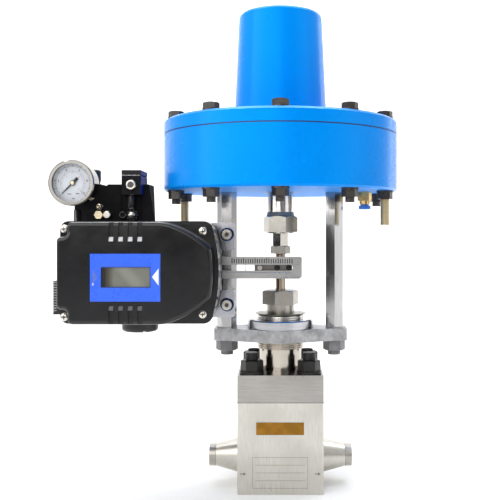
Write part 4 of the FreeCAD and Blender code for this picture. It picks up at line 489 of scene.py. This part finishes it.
def piece(name, points, faces, finish, body, smooth=False):
    """A mesh from points in metres that moves with a body."""
    mesh = bpy.data.meshes.new(name)
    mesh.from_pydata([tuple(point) for point in points], [], faces)
    mesh.update()
    mesh.validate()
    if smooth:
        mesh.shade_smooth()
    return place(name, mesh, finish, body)


def stand_in(name, node, finish):
    """A copy of a node that is drawn in its place, and rides on nothing yet."""
    made = place(name, nodes[node].data.copy(), finish)
    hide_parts(node)
    return made


def centre(node):
    """The middle of a node's box."""
    low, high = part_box(node)
    return (low + high) / 2


def frame_of(at, axis):
    """A matrix that takes local +Z to the axis, at a point."""
    turn = Vector((0, 0, 1)).rotation_difference(Vector(axis)).to_matrix().to_4x4()
    return Matrix.Translation(Vector(at)) @ turn


def thread_mesh(radius, pitch, length, depth, segments=36, steps=6):
    """Points and faces of a helical thread about local Z, rising from 0 to length."""
    rows = max(2, int(length / pitch * steps))
    points = []
    for row in range(rows + 1):
        height = length * row / rows
        for column in range(segments):
            angle = 2 * math.pi * column / segments
            phase = (height / pitch - column / segments) % 1.0
            ridge = depth * (1 - abs(2 * phase - 1))
            fade = min(1.0, 2 * height / pitch, 2 * (length - height) / pitch)
            reach = radius + ridge * fade
            points.append(Vector((reach * math.cos(angle), reach * math.sin(angle), height)))
    faces = []
    for row in range(rows):
        for column in range(segments):
            ahead = (column + 1) % segments
            start = row * segments
            faces.append((start + column, start + ahead,
                          start + segments + ahead, start + segments + column))
    return points, faces


def threads(name, radius, pitch, length, places, finish, body, axis=(0, 0, 1), depth=None):
    """The same thread at several places, as one piece."""
    depth = pitch * 0.28 if depth is None else depth
    points, faces = thread_mesh(radius, pitch, length, depth)
    all_points = []
    all_faces = []
    for place in places:
        matrix = frame_of(place, axis)
        base = len(all_points)
        all_points += [matrix @ point for point in points]
        all_faces += [tuple(base + index for index in face) for face in faces]
    return piece(name, all_points, all_faces, finish, body, smooth=True)


def cuboid(low, high):
    """Points and faces of a box."""
    points = [Vector((x, y, z)) for x in (low[0], high[0]) for y in (low[1], high[1])
              for z in (low[2], high[2])]
    faces = [(0, 1, 3, 2), (4, 6, 7, 5), (0, 4, 5, 1), (2, 3, 7, 6), (0, 2, 6, 4), (1, 5, 7, 3)]
    return points, faces


def blocks(name, boxes, finish, body):
    """Several small bars as one piece, such as the marks of a scale."""
    points = []
    faces = []
    for low, high in boxes:
        base = len(points)
        more, sides = cuboid(low, high)
        points += more
        faces += [tuple(base + index for index in side) for side in sides]
    return piece(name, points, faces, finish, body)


def slab(name, outline, front, back, finish, body):
    """A flat plate facing -Y, from its outline in X and Z."""
    count = len(outline)
    points = [Vector((x, front, z)) for x, z in outline]
    points += [Vector((x, back, z)) for x, z in outline]
    faces = [tuple(range(count)), tuple(reversed(range(count, 2 * count)))]
    for index in range(count):
        ahead = (index + 1) % count
        faces.append((ahead, index, count + index, count + ahead))
    return piece(name, points, faces, finish, body)


def lathe(name, profile, at, axis, finish, body, segments=40, smooth=True):
    """A surface turned from (radius, height) points about an axis."""
    matrix = frame_of(at, axis)
    points = []
    for radius, height in profile:
        for column in range(segments):
            angle = 2 * math.pi * column / segments
            points.append(matrix @ Vector((radius * math.cos(angle),
                                           radius * math.sin(angle), height)))
    faces = []
    for row in range(len(profile) - 1):
        for column in range(segments):
            ahead = (column + 1) % segments
            start = row * segments
            faces.append((start + column, start + ahead,
                          start + segments + ahead, start + segments + column))
    return piece(name, points, faces, finish, body, smooth=smooth)


def on_photo_plane(u, v, y):
    """The X and Z of a point at depth y that the camera sees at pixel u, v of the photograph."""
    scale = (y - CAMERA_Y) / FOCAL
    return (u - PRINCIPAL_U) * scale, CAMERA_Z + (PRINCIPAL_V - v) * scale


def on_photo_box(corners, y):
    """Left, right, bottom and top of a box at depth y, from two of its corners in pixels."""
    (left, top), (right, bottom) = (on_photo_plane(u, v, y) for u, v in corners)
    return left, right, bottom, top


def words(name, text, size, at, finish, body):
    """A short text facing -Y, as a mesh centred at a point."""
    curve = bpy.data.curves.new(name + "_curve", "FONT")
    curve.body = text
    curve.size = size
    curve.align_x = "CENTER"
    curve.align_y = "CENTER"
    curve.resolution_u = 3
    holder = bpy.data.objects.new(name + "_curve", curve)
    bpy.context.scene.collection.objects.link(holder)
    bpy.context.view_layer.update()
    shown = holder.evaluated_get(bpy.context.evaluated_depsgraph_get())
    mesh = bpy.data.meshes.new_from_object(shown)
    bpy.data.objects.remove(holder)
    mesh.transform(Matrix.Translation(Vector(at)) @ Matrix.Rotation(math.pi / 2, 4, "X"))
    return place(name, mesh, finish, body)


# Threads

def dress_threads():
    """Threads where they show, and skins on the bonnet's neck and the coupling's taper."""
    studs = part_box("bonnet_studs")
    nuts_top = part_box("bonnet_nuts")[1].z
    stud_offset = studs[1].x - STUD_RADIUS
    fronts = [(x, -stud_offset, nuts_top) for x in (-stud_offset, stud_offset)]
    backs = [(x, stud_offset, nuts_top) for x in (-stud_offset, stud_offset)]
    threads("stud_threads_front", STUD_RADIUS, M12_PITCH, studs[1].z - nuts_top, fronts,
            "oxide", "valve")
    threads("stud_threads_back", STUD_RADIUS, M12_PITCH, BACK_STUD_END, backs, "oxide",
            "valve")
    plate_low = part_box("yoke_plate")[0].z
    neck = plate_low - YOKE_THREAD_GAP
    threads("yoke_thread_below", YOKE_THREAD_RADIUS, YOKE_PITCH, plate_low - neck,
            [(0, 0, neck)], "yoke_thread", "valve", depth=YOKE_THREAD_DEPTH)
    lathe("neck_skin", [(NECK_RADIUS + SKIN, 4 * SKIN), (NECK_RADIUS + SKIN, NECK_LENGTH)],
          (0, 0, neck - NECK_LENGTH), UP, "neck_steel", "valve", segments=64)
    nut_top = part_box("yoke_locknut")[1].z
    disc_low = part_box("gland_disc")[0].z
    threads("yoke_thread_above", YOKE_THREAD_RADIUS, YOKE_PITCH, disc_low - nut_top,
            [(0, 0, nut_top)], "turned", "valve", depth=YOKE_THREAD_DEPTH)
    pillar_low, pillar_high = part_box("right_pillar")
    pillar_x = (pillar_low.x + pillar_high.x) / 2
    nut_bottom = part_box("pillar_nuts")[0].z
    threads("pillar_stud_threads", STUD_RADIUS, M12_PITCH, nut_bottom - pillar_low.z,
            [(x, 0, pillar_low.z) for x in (-pillar_x, pillar_x)], "zinc_dark", "valve")
    nuts_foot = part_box("case_nuts")[0].z
    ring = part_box("case_bolts")[1].y - CASE_BOLT_HEAD_CORNER
    step = 2 * math.pi / CASE_BOLTS
    short_ones = [index for index in range(CASE_BOLTS) if index not in LONG_BOLTS]
    for name, bolts, places, finish in (
            ("case_bolt_threads", "case_bolts", short_ones, "bolt"),
            ("long_bolt_threads", "long_case_bolts", LONG_BOLTS, "yellow_zinc")):
        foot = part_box(bolts)[0].z
        angles = [step * index - math.pi / 2 for index in places]
        threads(name, CASE_BOLT_RADIUS, FINE_PITCH, nuts_foot - foot,
                [(ring * math.cos(angle), ring * math.sin(angle), foot) for angle in angles],
                finish, "valve")
    nut_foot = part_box("stem_lock_nut")[0].z
    threads("stem_thread", STEM_RADIUS, FINE_PITCH, STEM_THREAD,
            [(0, 0, nut_foot - STEM_THREAD)], "stem_steel", "stem", depth=STEM_THREAD_DEPTH)
    taper_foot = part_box("coupling_nut")[1].z - COUPLING_TAPER
    wide = COUPLING_TAPER_FOOT
    lathe("coupling_taper_skin", [(wide + SKIN, 0), (ROD_RADIUS + SKIN, COUPLING_TAPER)],
          (0, 0, taper_foot), UP, "worn_taper", "stem", segments=48)
    half_line = 0.22 * MM
    for index, share in enumerate(COUPLING_LINES):
        radius = wide + (ROD_RADIUS - wide) * share + 2 * SKIN
        lathe(f"coupling_line_{index}", [(radius, -half_line), (radius, half_line)],
              (0, 0, taper_foot + COUPLING_TAPER * share), UP, "joint", "stem", segments=48)


# Valve body

def bar(low_x, high_x, low_z, high_z, face, proud):
    """A thin bar on a face that looks towards -Y."""
    return (low_x, face - proud, low_z), (high_x, face, high_z)


def ring_of_bars(left, right, bottom, top, line, face, proud):
    """Four bars along the inside of a rectangle."""
    return [bar(left, right, top - line, top, face, proud),
            bar(left, right, bottom, bottom + line, face, proud),
            bar(left, left + line, bottom, top, face, proud),
            bar(right - line, right, bottom, top, face, proud)]


def dress_body():
    """Joint line, weld lands, bare name plate, etched frame with blank lines, flow arrows."""
    low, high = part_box("body_block")
    face = low.y
    half = -face
    seam = high.z
    line = 0.25 * MM
    proud = 0.04 * MM
    reach = half + proud
    blocks("joint_line", [
        ((-reach, -reach, seam - line), (reach, -half, seam + line)),
        ((-reach, half, seam - line), (reach, reach, seam + line)),
        ((-reach, -half, seam - line), (-half, half, seam + line)),
        ((half, -half, seam - line), (reach, half, seam + line))], "joint", "valve")
    land = PIPE_RADIUS + proud
    rim = PIPE_RADIUS + 2 * proud
    for name, tip, side in (("inlet", low.x, 1), ("outlet", high.x, -1)):
        for part, profile, finish in (
                ("land", [(land, 0.1 * MM), (land, PIPE_LAND)], "pipe_land"),
                ("land_line", [(rim, PIPE_LAND - line), (rim, PIPE_LAND)], "joint")):
            lathe(f"{name}_{part}", profile, (tip, 0, PIPE_LEVEL), (side, 0, 0), finish,
                  "valve", segments=48)
    left, right, bottom, top = on_photo_box(PLATE_CORNERS, face)
    slab("name_plate", [(left, bottom), (right, bottom), (right, top), (left, top)],
         face - 0.25 * MM, face + SKIN, "plate_gold", "valve")
    blocks("name_plate_rim",
           ring_of_bars(left, right, bottom, top, 0.35 * MM, face, 0.32 * MM), "plate_rim",
           "valve")
    left, right, bottom, top = on_photo_box(ETCHED_CORNERS, face)
    line = 0.3 * MM
    marks = ring_of_bars(left, right, bottom, top, line, face, SKIN)
    pitch = (top - bottom) / 4
    inset = 2.5 * MM
    for row in range(1, 4):
        level = bottom + pitch * row
        marks.append(bar(left + inset, right - inset, level - line / 2, level + line / 2,
                         face, SKIN))
    blocks("etched_frame", marks, "etch", "valve")
    shaft, head, wide, thin = 3.2 * MM, 2.6 * MM, 1.7 * MM, 0.45 * MM
    for name, u in ARROWS:
        x, z = on_photo_plane(u, ARROW_V, face)
        slab(name, [(x - shaft, z - thin), (x, z - thin), (x, z - wide), (x + head, z),
                    (x, z + wide), (x, z + thin), (x - shaft, z + thin)],
             face - SKIN, face + SKIN, "etch", "valve")


# Pressure gauge

def dress_gauge():
    """Two scales with plain numbers, small legends and the pointer's hub."""
    low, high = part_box("gauge_dial")
    middle = (low + high) / 2
    face = low.y
    spot = Vector((middle.x, face, middle.z))
    start, sweep = math.radians(225), math.radians(270)

    def clock(angle):
        """The direction that a clock angle points in on the dial."""
        return Vector((math.sin(angle), 0, math.cos(angle)))

    def marks(name, count, inner, long_one, short_one, finish):
        """Radial marks, each from the inner radius to its tip; every fifth is a long one."""
        points = []
        faces = []
        for index in range(count):
            angle = start + sweep * index / (count - 1)
            tip, width = short_one if index % 5 else long_one
            out = clock(angle)
            side = clock(angle + math.pi / 2) * width / 2
            base = len(points)
            points += [spot + Vector((0, -INK, 0)) + out * reach + side * turn
                       for reach, turn in ((inner, -1), (inner, 1), (tip, 1), (tip, -1))]
            faces.append((base, base + 1, base + 2, base + 3))
        piece(name, points, faces, finish, "valve")

    marks("scale_outer", 51, 15.0 * MM, (17.2 * MM, 0.5 * MM), (16.4 * MM, 0.3 * MM), "ink")
    marks("scale_inner", 31, 9.5 * MM, (11.0 * MM, 0.4 * MM), (10.4 * MM, 0.24 * MM), "red_ink")
    marks("scale_arc", 60, 11.2 * MM, (11.35 * MM, 1.0 * MM), (11.35 * MM, 1.0 * MM), "ink")
    for name, count, unit, radius, size, finish in (
            ("number", 6, 2, 13.2 * MM, 3.4 * MM, "ink"),
            ("small_number", 4, 5, 7.7 * MM, 1.9 * MM, "red_ink")):
        for index in range(count):
            at = spot + clock(start + sweep * index / (count - 1)) * radius
            words(f"{name}_{index}", str(unit * index), size, (at.x, face - INK, at.z), finish,
                  "valve")
    tall = 0.5 * MM
    legends = []
    for u, v, wide in LEGENDS:
        x, z = on_photo_plane(u, v, face)
        legends.append(bar(x - wide, x + wide, z - tall, z + tall, face, INK))
    blocks("gauge_legends", legends, "grey_ink", "valve")
    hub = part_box("gauge_pointer")[0].y
    lathe("pointer_cap", [(2.0 * MM, 0), (1.9 * MM, 0.35 * MM), (1.3 * MM, 0.6 * MM),
                          (0.35 * MM, 0.7 * MM), (0, 0.6 * MM)],
          (middle.x, hub, middle.z), FRONT, "pale_brass", "pointer", segments=28)


# Positioner

def pan_head(name, x, z, face, radius, finish, body):
    """A domed screw head whose cross recess is a dark cross of painted shade, set on the flat
    head that carries it.
    """
    dome = [(radius, 0), (radius * 0.98, 0.35 * MM), (radius * 0.8, 0.85 * MM),
            (radius * 0.45, 1.12 * MM), (0, 1.2 * MM)]
    lathe(name, dome, (x, face, z), FRONT, finish, body, segments=28)
    long_half = radius * 0.56
    short_half = radius * 0.13
    top = face - 1.22 * MM
    blocks(name + "_cross", [
        ((x - wide, top, z - tall), (x + wide, top + 0.25 * MM, z + tall))
        for wide, tall in ((long_half, short_half), (short_half, long_half))], "recess", body)


def dress_positioner():
    """Screw heads, ends of the grooves painted as highlights, marks on the label with a painted
    glint, a painted shadow round the display, and painted highlights along the side cover's ribs.
    """
    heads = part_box("cover_screws")
    head_face = heads[0].y
    reach = COVER_HEAD_RADIUS
    for index, (u, v) in enumerate(COVER_HEADS):
        x = heads[0].x + reach if u < PRINCIPAL_U / 2 else heads[1].x - reach
        z = on_photo_plane(u, v, head_face)[1]
        pan_head(f"cover_head_{index + 1}", x, z, head_face, reach, "nickel", "valve")
    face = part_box("positioner_cover")[0].y
    half = 1.95 * MM
    # Each groove end is a painted highlight on its lit sloped end.
    for row, v, finish in GROOVE_ENDS:
        for index in range(GROOVES):
            x, z = on_photo_plane(GROOVE_U + GROOVE_STEP_U * index, v, face)
            points = [Vector((x + half * side, face + depth, z + half * rise))
                      for side, depth, rise in (
                          (-1, -0.05 * MM, -1), (1, -0.05 * MM, -1), (1, -0.45 * MM, -0.9),
                          (-1, -0.45 * MM, -0.9), (-1, 0.9 * MM, 1), (1, 0.9 * MM, 1))]
            faces = [(0, 1, 2, 3), (3, 2, 5, 4), (0, 3, 4), (1, 5, 2), (0, 4, 5, 1)]
            piece(f"groove_end_{row}_{index}", points, faces, finish, "valve")
    label_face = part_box("label_plate")[0].y
    for name, corners, finish in LABEL_MARKS:
        slab(f"pointer_mark_{name}", [on_photo_plane(u, v, label_face) for u, v in corners],
             label_face - INK, label_face + INK, finish, "valve")
    low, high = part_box("display")
    rim = 0.7 * MM
    # The dark rim round the display is a painted shadow.
    blocks("screen_rim", [
        bar(low.x - rim, high.x + rim, high.z, high.z + rim, label_face, INK),
        bar(low.x - rim, high.x + rim, low.z - rim, low.z, label_face, INK),
        bar(low.x - rim, low.x, low.z, high.z, label_face, INK),
        bar(high.x, high.x + rim, low.z, high.z, label_face, INK)], "label_shadow", "valve")
    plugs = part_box("port_plugs")
    front = centre("positioner_base").y - VENT_FRONT
    pitch = VENT_HEIGHT / (VENT_LINES + 1)
    # Pale bars across the side cover's ribs are painted highlights.
    glints = []
    for index in range(VENT_LINES):
        z = plugs[1].z - pitch * (index + 0.5)
        glints.append(((plugs[0].x, front - INK, z - 0.35 * MM),
                       (plugs[0].x + 3.2 * MM, front + 0.8 * MM, z + 0.35 * MM)))
    blocks("side_cover_glints", glints, "rib_white", "valve")


def dress_bracket():
    """Dark sockets of painted shade, and washers painted dark blue as the blue case's reflection,
    on the two screws that hold the bracket to its pillar.
    """
    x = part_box("bracket_screws")[1].x - BRACKET_WASHER_RADIUS
    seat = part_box("positioner_bracket")[1].y - BRACKET_THICKNESS - BRACKET_WASHER
    head = seat - BRACKET_HEAD_HEIGHT
    level = centre("feedback_lever").z
    corners = [(math.cos(math.pi * side / 3), math.sin(math.pi * side / 3))
               for side in range(6)]
    lift = 0.12 * MM
    for name, z in (("upper", level + BRACKET_SCREW_RISE), ("lower", level - BRACKET_SCREW_DROP)):
        # Washers painted dark blue: the blue case's reflection, with shade by the heads.
        lathe(f"bracket_washer_{name}",
              [(BRACKET_HEAD_RADIUS, 0), (BRACKET_HEAD_RADIUS, lift),
               (BRACKET_WASHER_RADIUS - 0.2 * MM, lift), (BRACKET_WASHER_RADIUS + SKIN, 0)],
              (x, seat, z), FRONT, "washer", "valve")
        # The socket is a dark hexagon of painted shade at the bottom of its recess.
        slab(f"bracket_socket_{name}",
             [(x + BRACKET_SOCKET * side_x, z + BRACKET_SOCKET * side_z)
              for side_x, side_z in corners],
             head + 0.5 * MM, head + 0.8 * MM, "recess", "valve")


# Feedback lever

def dress_lever():
    """The scale on the lever's upper bar and a divider in its slot."""
    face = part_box("feedback_lever")[0].y + LEVER_LIP
    start, end, bottom, top = on_photo_box(LEVER_SCALE, face)
    marks = []
    for index in range(LEVER_TICKS):
        x = start + (end - start) * index / (LEVER_TICKS - 1)
        rise = top - 0.7 * MM if index % 5 else top
        marks.append(bar(x - 0.5 * MM, x + 0.5 * MM, bottom, rise, face, SKIN))
    blocks("lever_scale", marks, "tick", "lever")
    left, right, bottom, top = on_photo_box(LEVER_DIVIDER, face)
    half = 0.35 * MM
    blocks("lever_divider", [((left - half, face + 0.2 * MM, bottom),
                              (right + half, face + 1.0 * MM, top))], "nut", "lever")


# Air set

def dress_air_set():
    """The relay block's covers, screw and painted highlights under its cap, and the plugs, dome
    and sleeve around its tube.
    """
    low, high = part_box("relay_block")
    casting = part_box("regulator_body")
    skin = 0.2 * MM
    block_back = low.y + RELAY_DEPTH
    cap = high.z - RELAY_CAP
    shelf = high.z - RELAY_SHELF
    blocks("relay_side_cover", [
        ((high.x - skin, low.y + skin, low.z + skin),
         (high.x + skin, block_back - skin, cap - skin)),
        ((high.x - skin, low.y + skin, cap + 0.9 * MM),
         (high.x + skin, high.y - skin, high.z - skin)),
        ((high.x - skin, block_back - skin, shelf + 0.3 * MM),
         (high.x + skin, high.y - skin, cap - skin))], "navy", "valve")
    ridges = []
    glints = []
    inset = 1 * MM
    for index in range(RELAY_RIBS):
        x = low.x + inset + (high.x - low.x - 2 * inset) * index / (RELAY_RIBS - 1)
        ridges.append(((x - 0.4 * MM, low.y - 0.35 * MM, cap + 1.1 * MM),
                       (x + 0.4 * MM, low.y + skin, high.z - 0.4 * MM)))
        rise = (0.35, 0.7, 0.2, 0.55)[index % 4] * MM
        glints.append(((x - 0.6 * MM, low.y - 0.12 * MM, cap - 0.1 * MM),
                       (x + 0.55 * MM, low.y + 0.4 * MM, cap + 0.2 * MM + rise)))
    blocks("relay_cap_ribs", ridges, "black_cast", "valve")
    # Pale dashes under the ribbed cap are painted highlights.
    blocks("relay_cap_glints", glints, "rib_white", "valve")
    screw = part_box("brass_fittings")
    relay_screw = (screw[1].x - RELAY_SCREW_RADIUS, screw[0].y, screw[1].z - RELAY_SCREW_RADIUS)
    lathe("relay_screw_rim", [(4.75 * MM, 0), (4.5 * MM, 0.5 * MM), (3.6 * MM, 0.75 * MM),
                              (2.7 * MM, 0.45 * MM), (2.6 * MM, 0)],
          relay_screw, FRONT, "nickel", "valve")
    # The screw's recess is a dark disc of painted shade.
    lathe("relay_screw_recess", [(2.65 * MM, 0.1 * MM), (1.2 * MM, 0.15 * MM), (0, 0.1 * MM)],
          relay_screw, FRONT, "recess", "valve", segments=24)
    level = casting[0].z + PORT_RISE
    pivot = centre("positioner_shaft").x
    tube_x = pivot - TUBE_OFFSET
    lathe("tube_sleeve", [(2.7 * MM, 0), (3.0 * MM, 0.3 * MM), (3.0 * MM, 12.3 * MM),
                          (2.7 * MM, 12.6 * MM)],
          (tube_x, low.y + 5 * MM, low.z - 12.8 * MM), UP, "black_plastic", "valve")
    boss = low.y + PORT_FACE
    collar = []
    ring, half = 4.8 * MM, 0.8 * MM
    for index in range(COLLAR_TEETH):
        angle = 2 * math.pi * index / COLLAR_TEETH
        x = tube_x + ring * math.cos(angle)
        z = level + ring * math.sin(angle)
        collar.append(((x - half, boss - 1.2 * MM, z - half), (x + half, boss + skin, z + half)))
    blocks("plug_collar", collar, "black_cast", "valve")
    lathe("plug_dome", [(3.4 * MM, 0), (3.3 * MM, 0.4 * MM), (2.2 * MM, 1.1 * MM),
                        (0, 1.4 * MM)],
          (tube_x, boss - 3 * MM, level), FRONT, "nickel", "valve", segments=28)
    lathe("blank_port_rim", [(3.3 * MM, 0), (3.3 * MM, 0.6 * MM), (2.5 * MM, 0.8 * MM),
                             (2.1 * MM, 0.2 * MM), (2.0 * MM, 0)],
          (pivot - BLANK_PORT_OFFSET, boss, level), FRONT, "black_shine", "valve", segments=28)
    breather_x, breather_z = pivot - BREATHER_OFFSET, level + BREATHER_RISE
    lathe("breather_seat", [(4.0 * MM, 0), (4.0 * MM, 1.6 * MM), (2.6 * MM, 1.7 * MM)],
          (breather_x, block_back, breather_z), FRONT, "black_shine", "valve", segments=6,
          smooth=False)
    lathe("breather_dome", [(2.6 * MM, 0), (2.5 * MM, 0.6 * MM), (1.5 * MM, 1.4 * MM),
                            (0, 1.6 * MM)],
          (breather_x, block_back - 3 * MM, breather_z), FRONT, "pale_brass", "valve",
          segments=24)
    lathe("corner_post", [(3.05 * MM, 0), (3.05 * MM, 11.8 * MM), (2.5 * MM, 12.3 * MM)],
          (casting[0].x + 3 * MM, block_back, casting[0].z), UP, "black_shine", "valve")


# Soft pieces

def dress_actuator():
    """Stand-in copies of the diaphragm, which rolls between its case and the stem, and of the
    spring, which shortens; the spring's copy rides on the valve.
    """
    membrane = stand_in("rolling_diaphragm", "diaphragm", "seam")
    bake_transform(membrane)
    coil = stand_in("coil_spring", "return_spring", "spring")
    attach(coil, "valve")
    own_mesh(coil)


# Studio

def area_light(name, at, target, width, height, power, color=(1, 1, 1)):
    """A soft rectangular light that faces its target."""
    data = bpy.data.lights.new(name, "AREA")
    data.shape = "RECTANGLE"
    data.size = width
    data.size_y = height
    data.energy = power
    data.color = color
    light = bpy.data.objects.new(name, data)
    bpy.context.scene.collection.objects.link(light)
    light.location = at
    light.rotation_euler = (Vector(target) - Vector(at)).to_track_quat("-Z", "Y").to_euler()


def build_studio():
    """A pale floor that rises into a backdrop, soft lights and a sky that is dimmer in front."""
    world = bpy.data.worlds.new("studio")
    bpy.context.scene.world = world
    world.use_nodes = True
    tree = world.node_tree
    sky = tree.nodes["Background"]
    sky.inputs["Color"].default_value = (0.95, 0.96, 1.0, 1)
    place = tree.nodes.new("ShaderNodeTexCoord")
    split = tree.nodes.new("ShaderNodeSeparateXYZ")
    fade = tree.nodes.new("ShaderNodeMapRange")
    for socket, value in (("From Min", -0.95), ("From Max", -0.55), ("To Min", 0.25),
                          ("To Max", 0.62)):
        fade.inputs[socket].default_value = value
    tree.links.new(place.outputs["Generated"], split.inputs["Vector"])
    tree.links.new(split.outputs["Y"], fade.inputs["Value"])
    tree.links.new(fade.outputs["Result"], sky.inputs["Strength"])
    half, near, far, height, bend = 5.0, -5.0, 1.6, 2.6, 0.5
    steps = 12
    profile = [(near, 0.0), (far - bend, 0.0)]
    for step in range(1, steps + 1):
        angle = math.pi / 2 * step / steps
        profile.append((far - bend + bend * math.sin(angle), bend - bend * math.cos(angle)))
    profile.append((far, height))
    points = [Vector((x, y, z)) for y, z in profile for x in (-half, half)]
    faces = [(2 * row, 2 * row + 1, 2 * row + 3, 2 * row + 2)
             for row in range(len(profile) - 1)]
    mesh = bpy.data.meshes.new("studio_floor")
    mesh.from_pydata([tuple(point) for point in points], [], faces)
    mesh.shade_smooth()
    floor = bpy.data.objects.new("studio_floor", mesh)
    bpy.context.scene.collection.objects.link(floor)
    look = Look("pale_floor", (0.88, 0.88, 0.88), rough=0.7)
    look.tint(look.noise(3), (0.86, 0.86, 0.86))
    mesh.materials.append(look.material)
    middle = (0, 0, 0.25)
    area_light("softbox_left", (-0.72, -0.9, 0.90), (0, 0, 0.90), 1.96, 1.20, 17,
               (1, 0.99, 0.96))
    area_light("panel_right", (1.5, -0.8, 0.5), middle, 1.1, 1.2, 3)
    area_light("strip_right", (0.95, 0.8, 0.45), middle, 0.12, 1.2, 1)
    area_light("overhead", (0.0, 0.1, 2.3), (0, 0.1, 0), 2.6, 2.6, 22)
    area_light("backdrop_light", (0, 0.4, 2.2), (0, 1.6, 0.4), 2.6, 0.5, 40)


def build_camera():
    """The photograph's camera, solved from the straight edges and sizes in it."""
    bpy.context.scene.view_settings.view_transform = "Standard"
    data = bpy.data.cameras.new("camera")
    camera = bpy.data.objects.new("camera", data)
    bpy.context.scene.collection.objects.link(camera)
    data.sensor_width = SENSOR_WIDTH
    data.lens = data.sensor_width * FOCAL / FRAME
    data.shift_x = -(PRINCIPAL_U / FRAME - 0.5)
    data.shift_y = PRINCIPAL_V / FRAME - 0.5
    data.clip_start = 0.01
    camera.location = (0, CAMERA_Y, CAMERA_Z)
    camera.rotation_euler = (math.pi / 2, 0, 0)
    bpy.context.scene.camera = camera


dress_nodes()
dress_threads()
dress_body()
dress_gauge()
dress_positioner()
dress_bracket()
dress_lever()
dress_air_set()
dress_actuator()
build_studio()
build_camera()
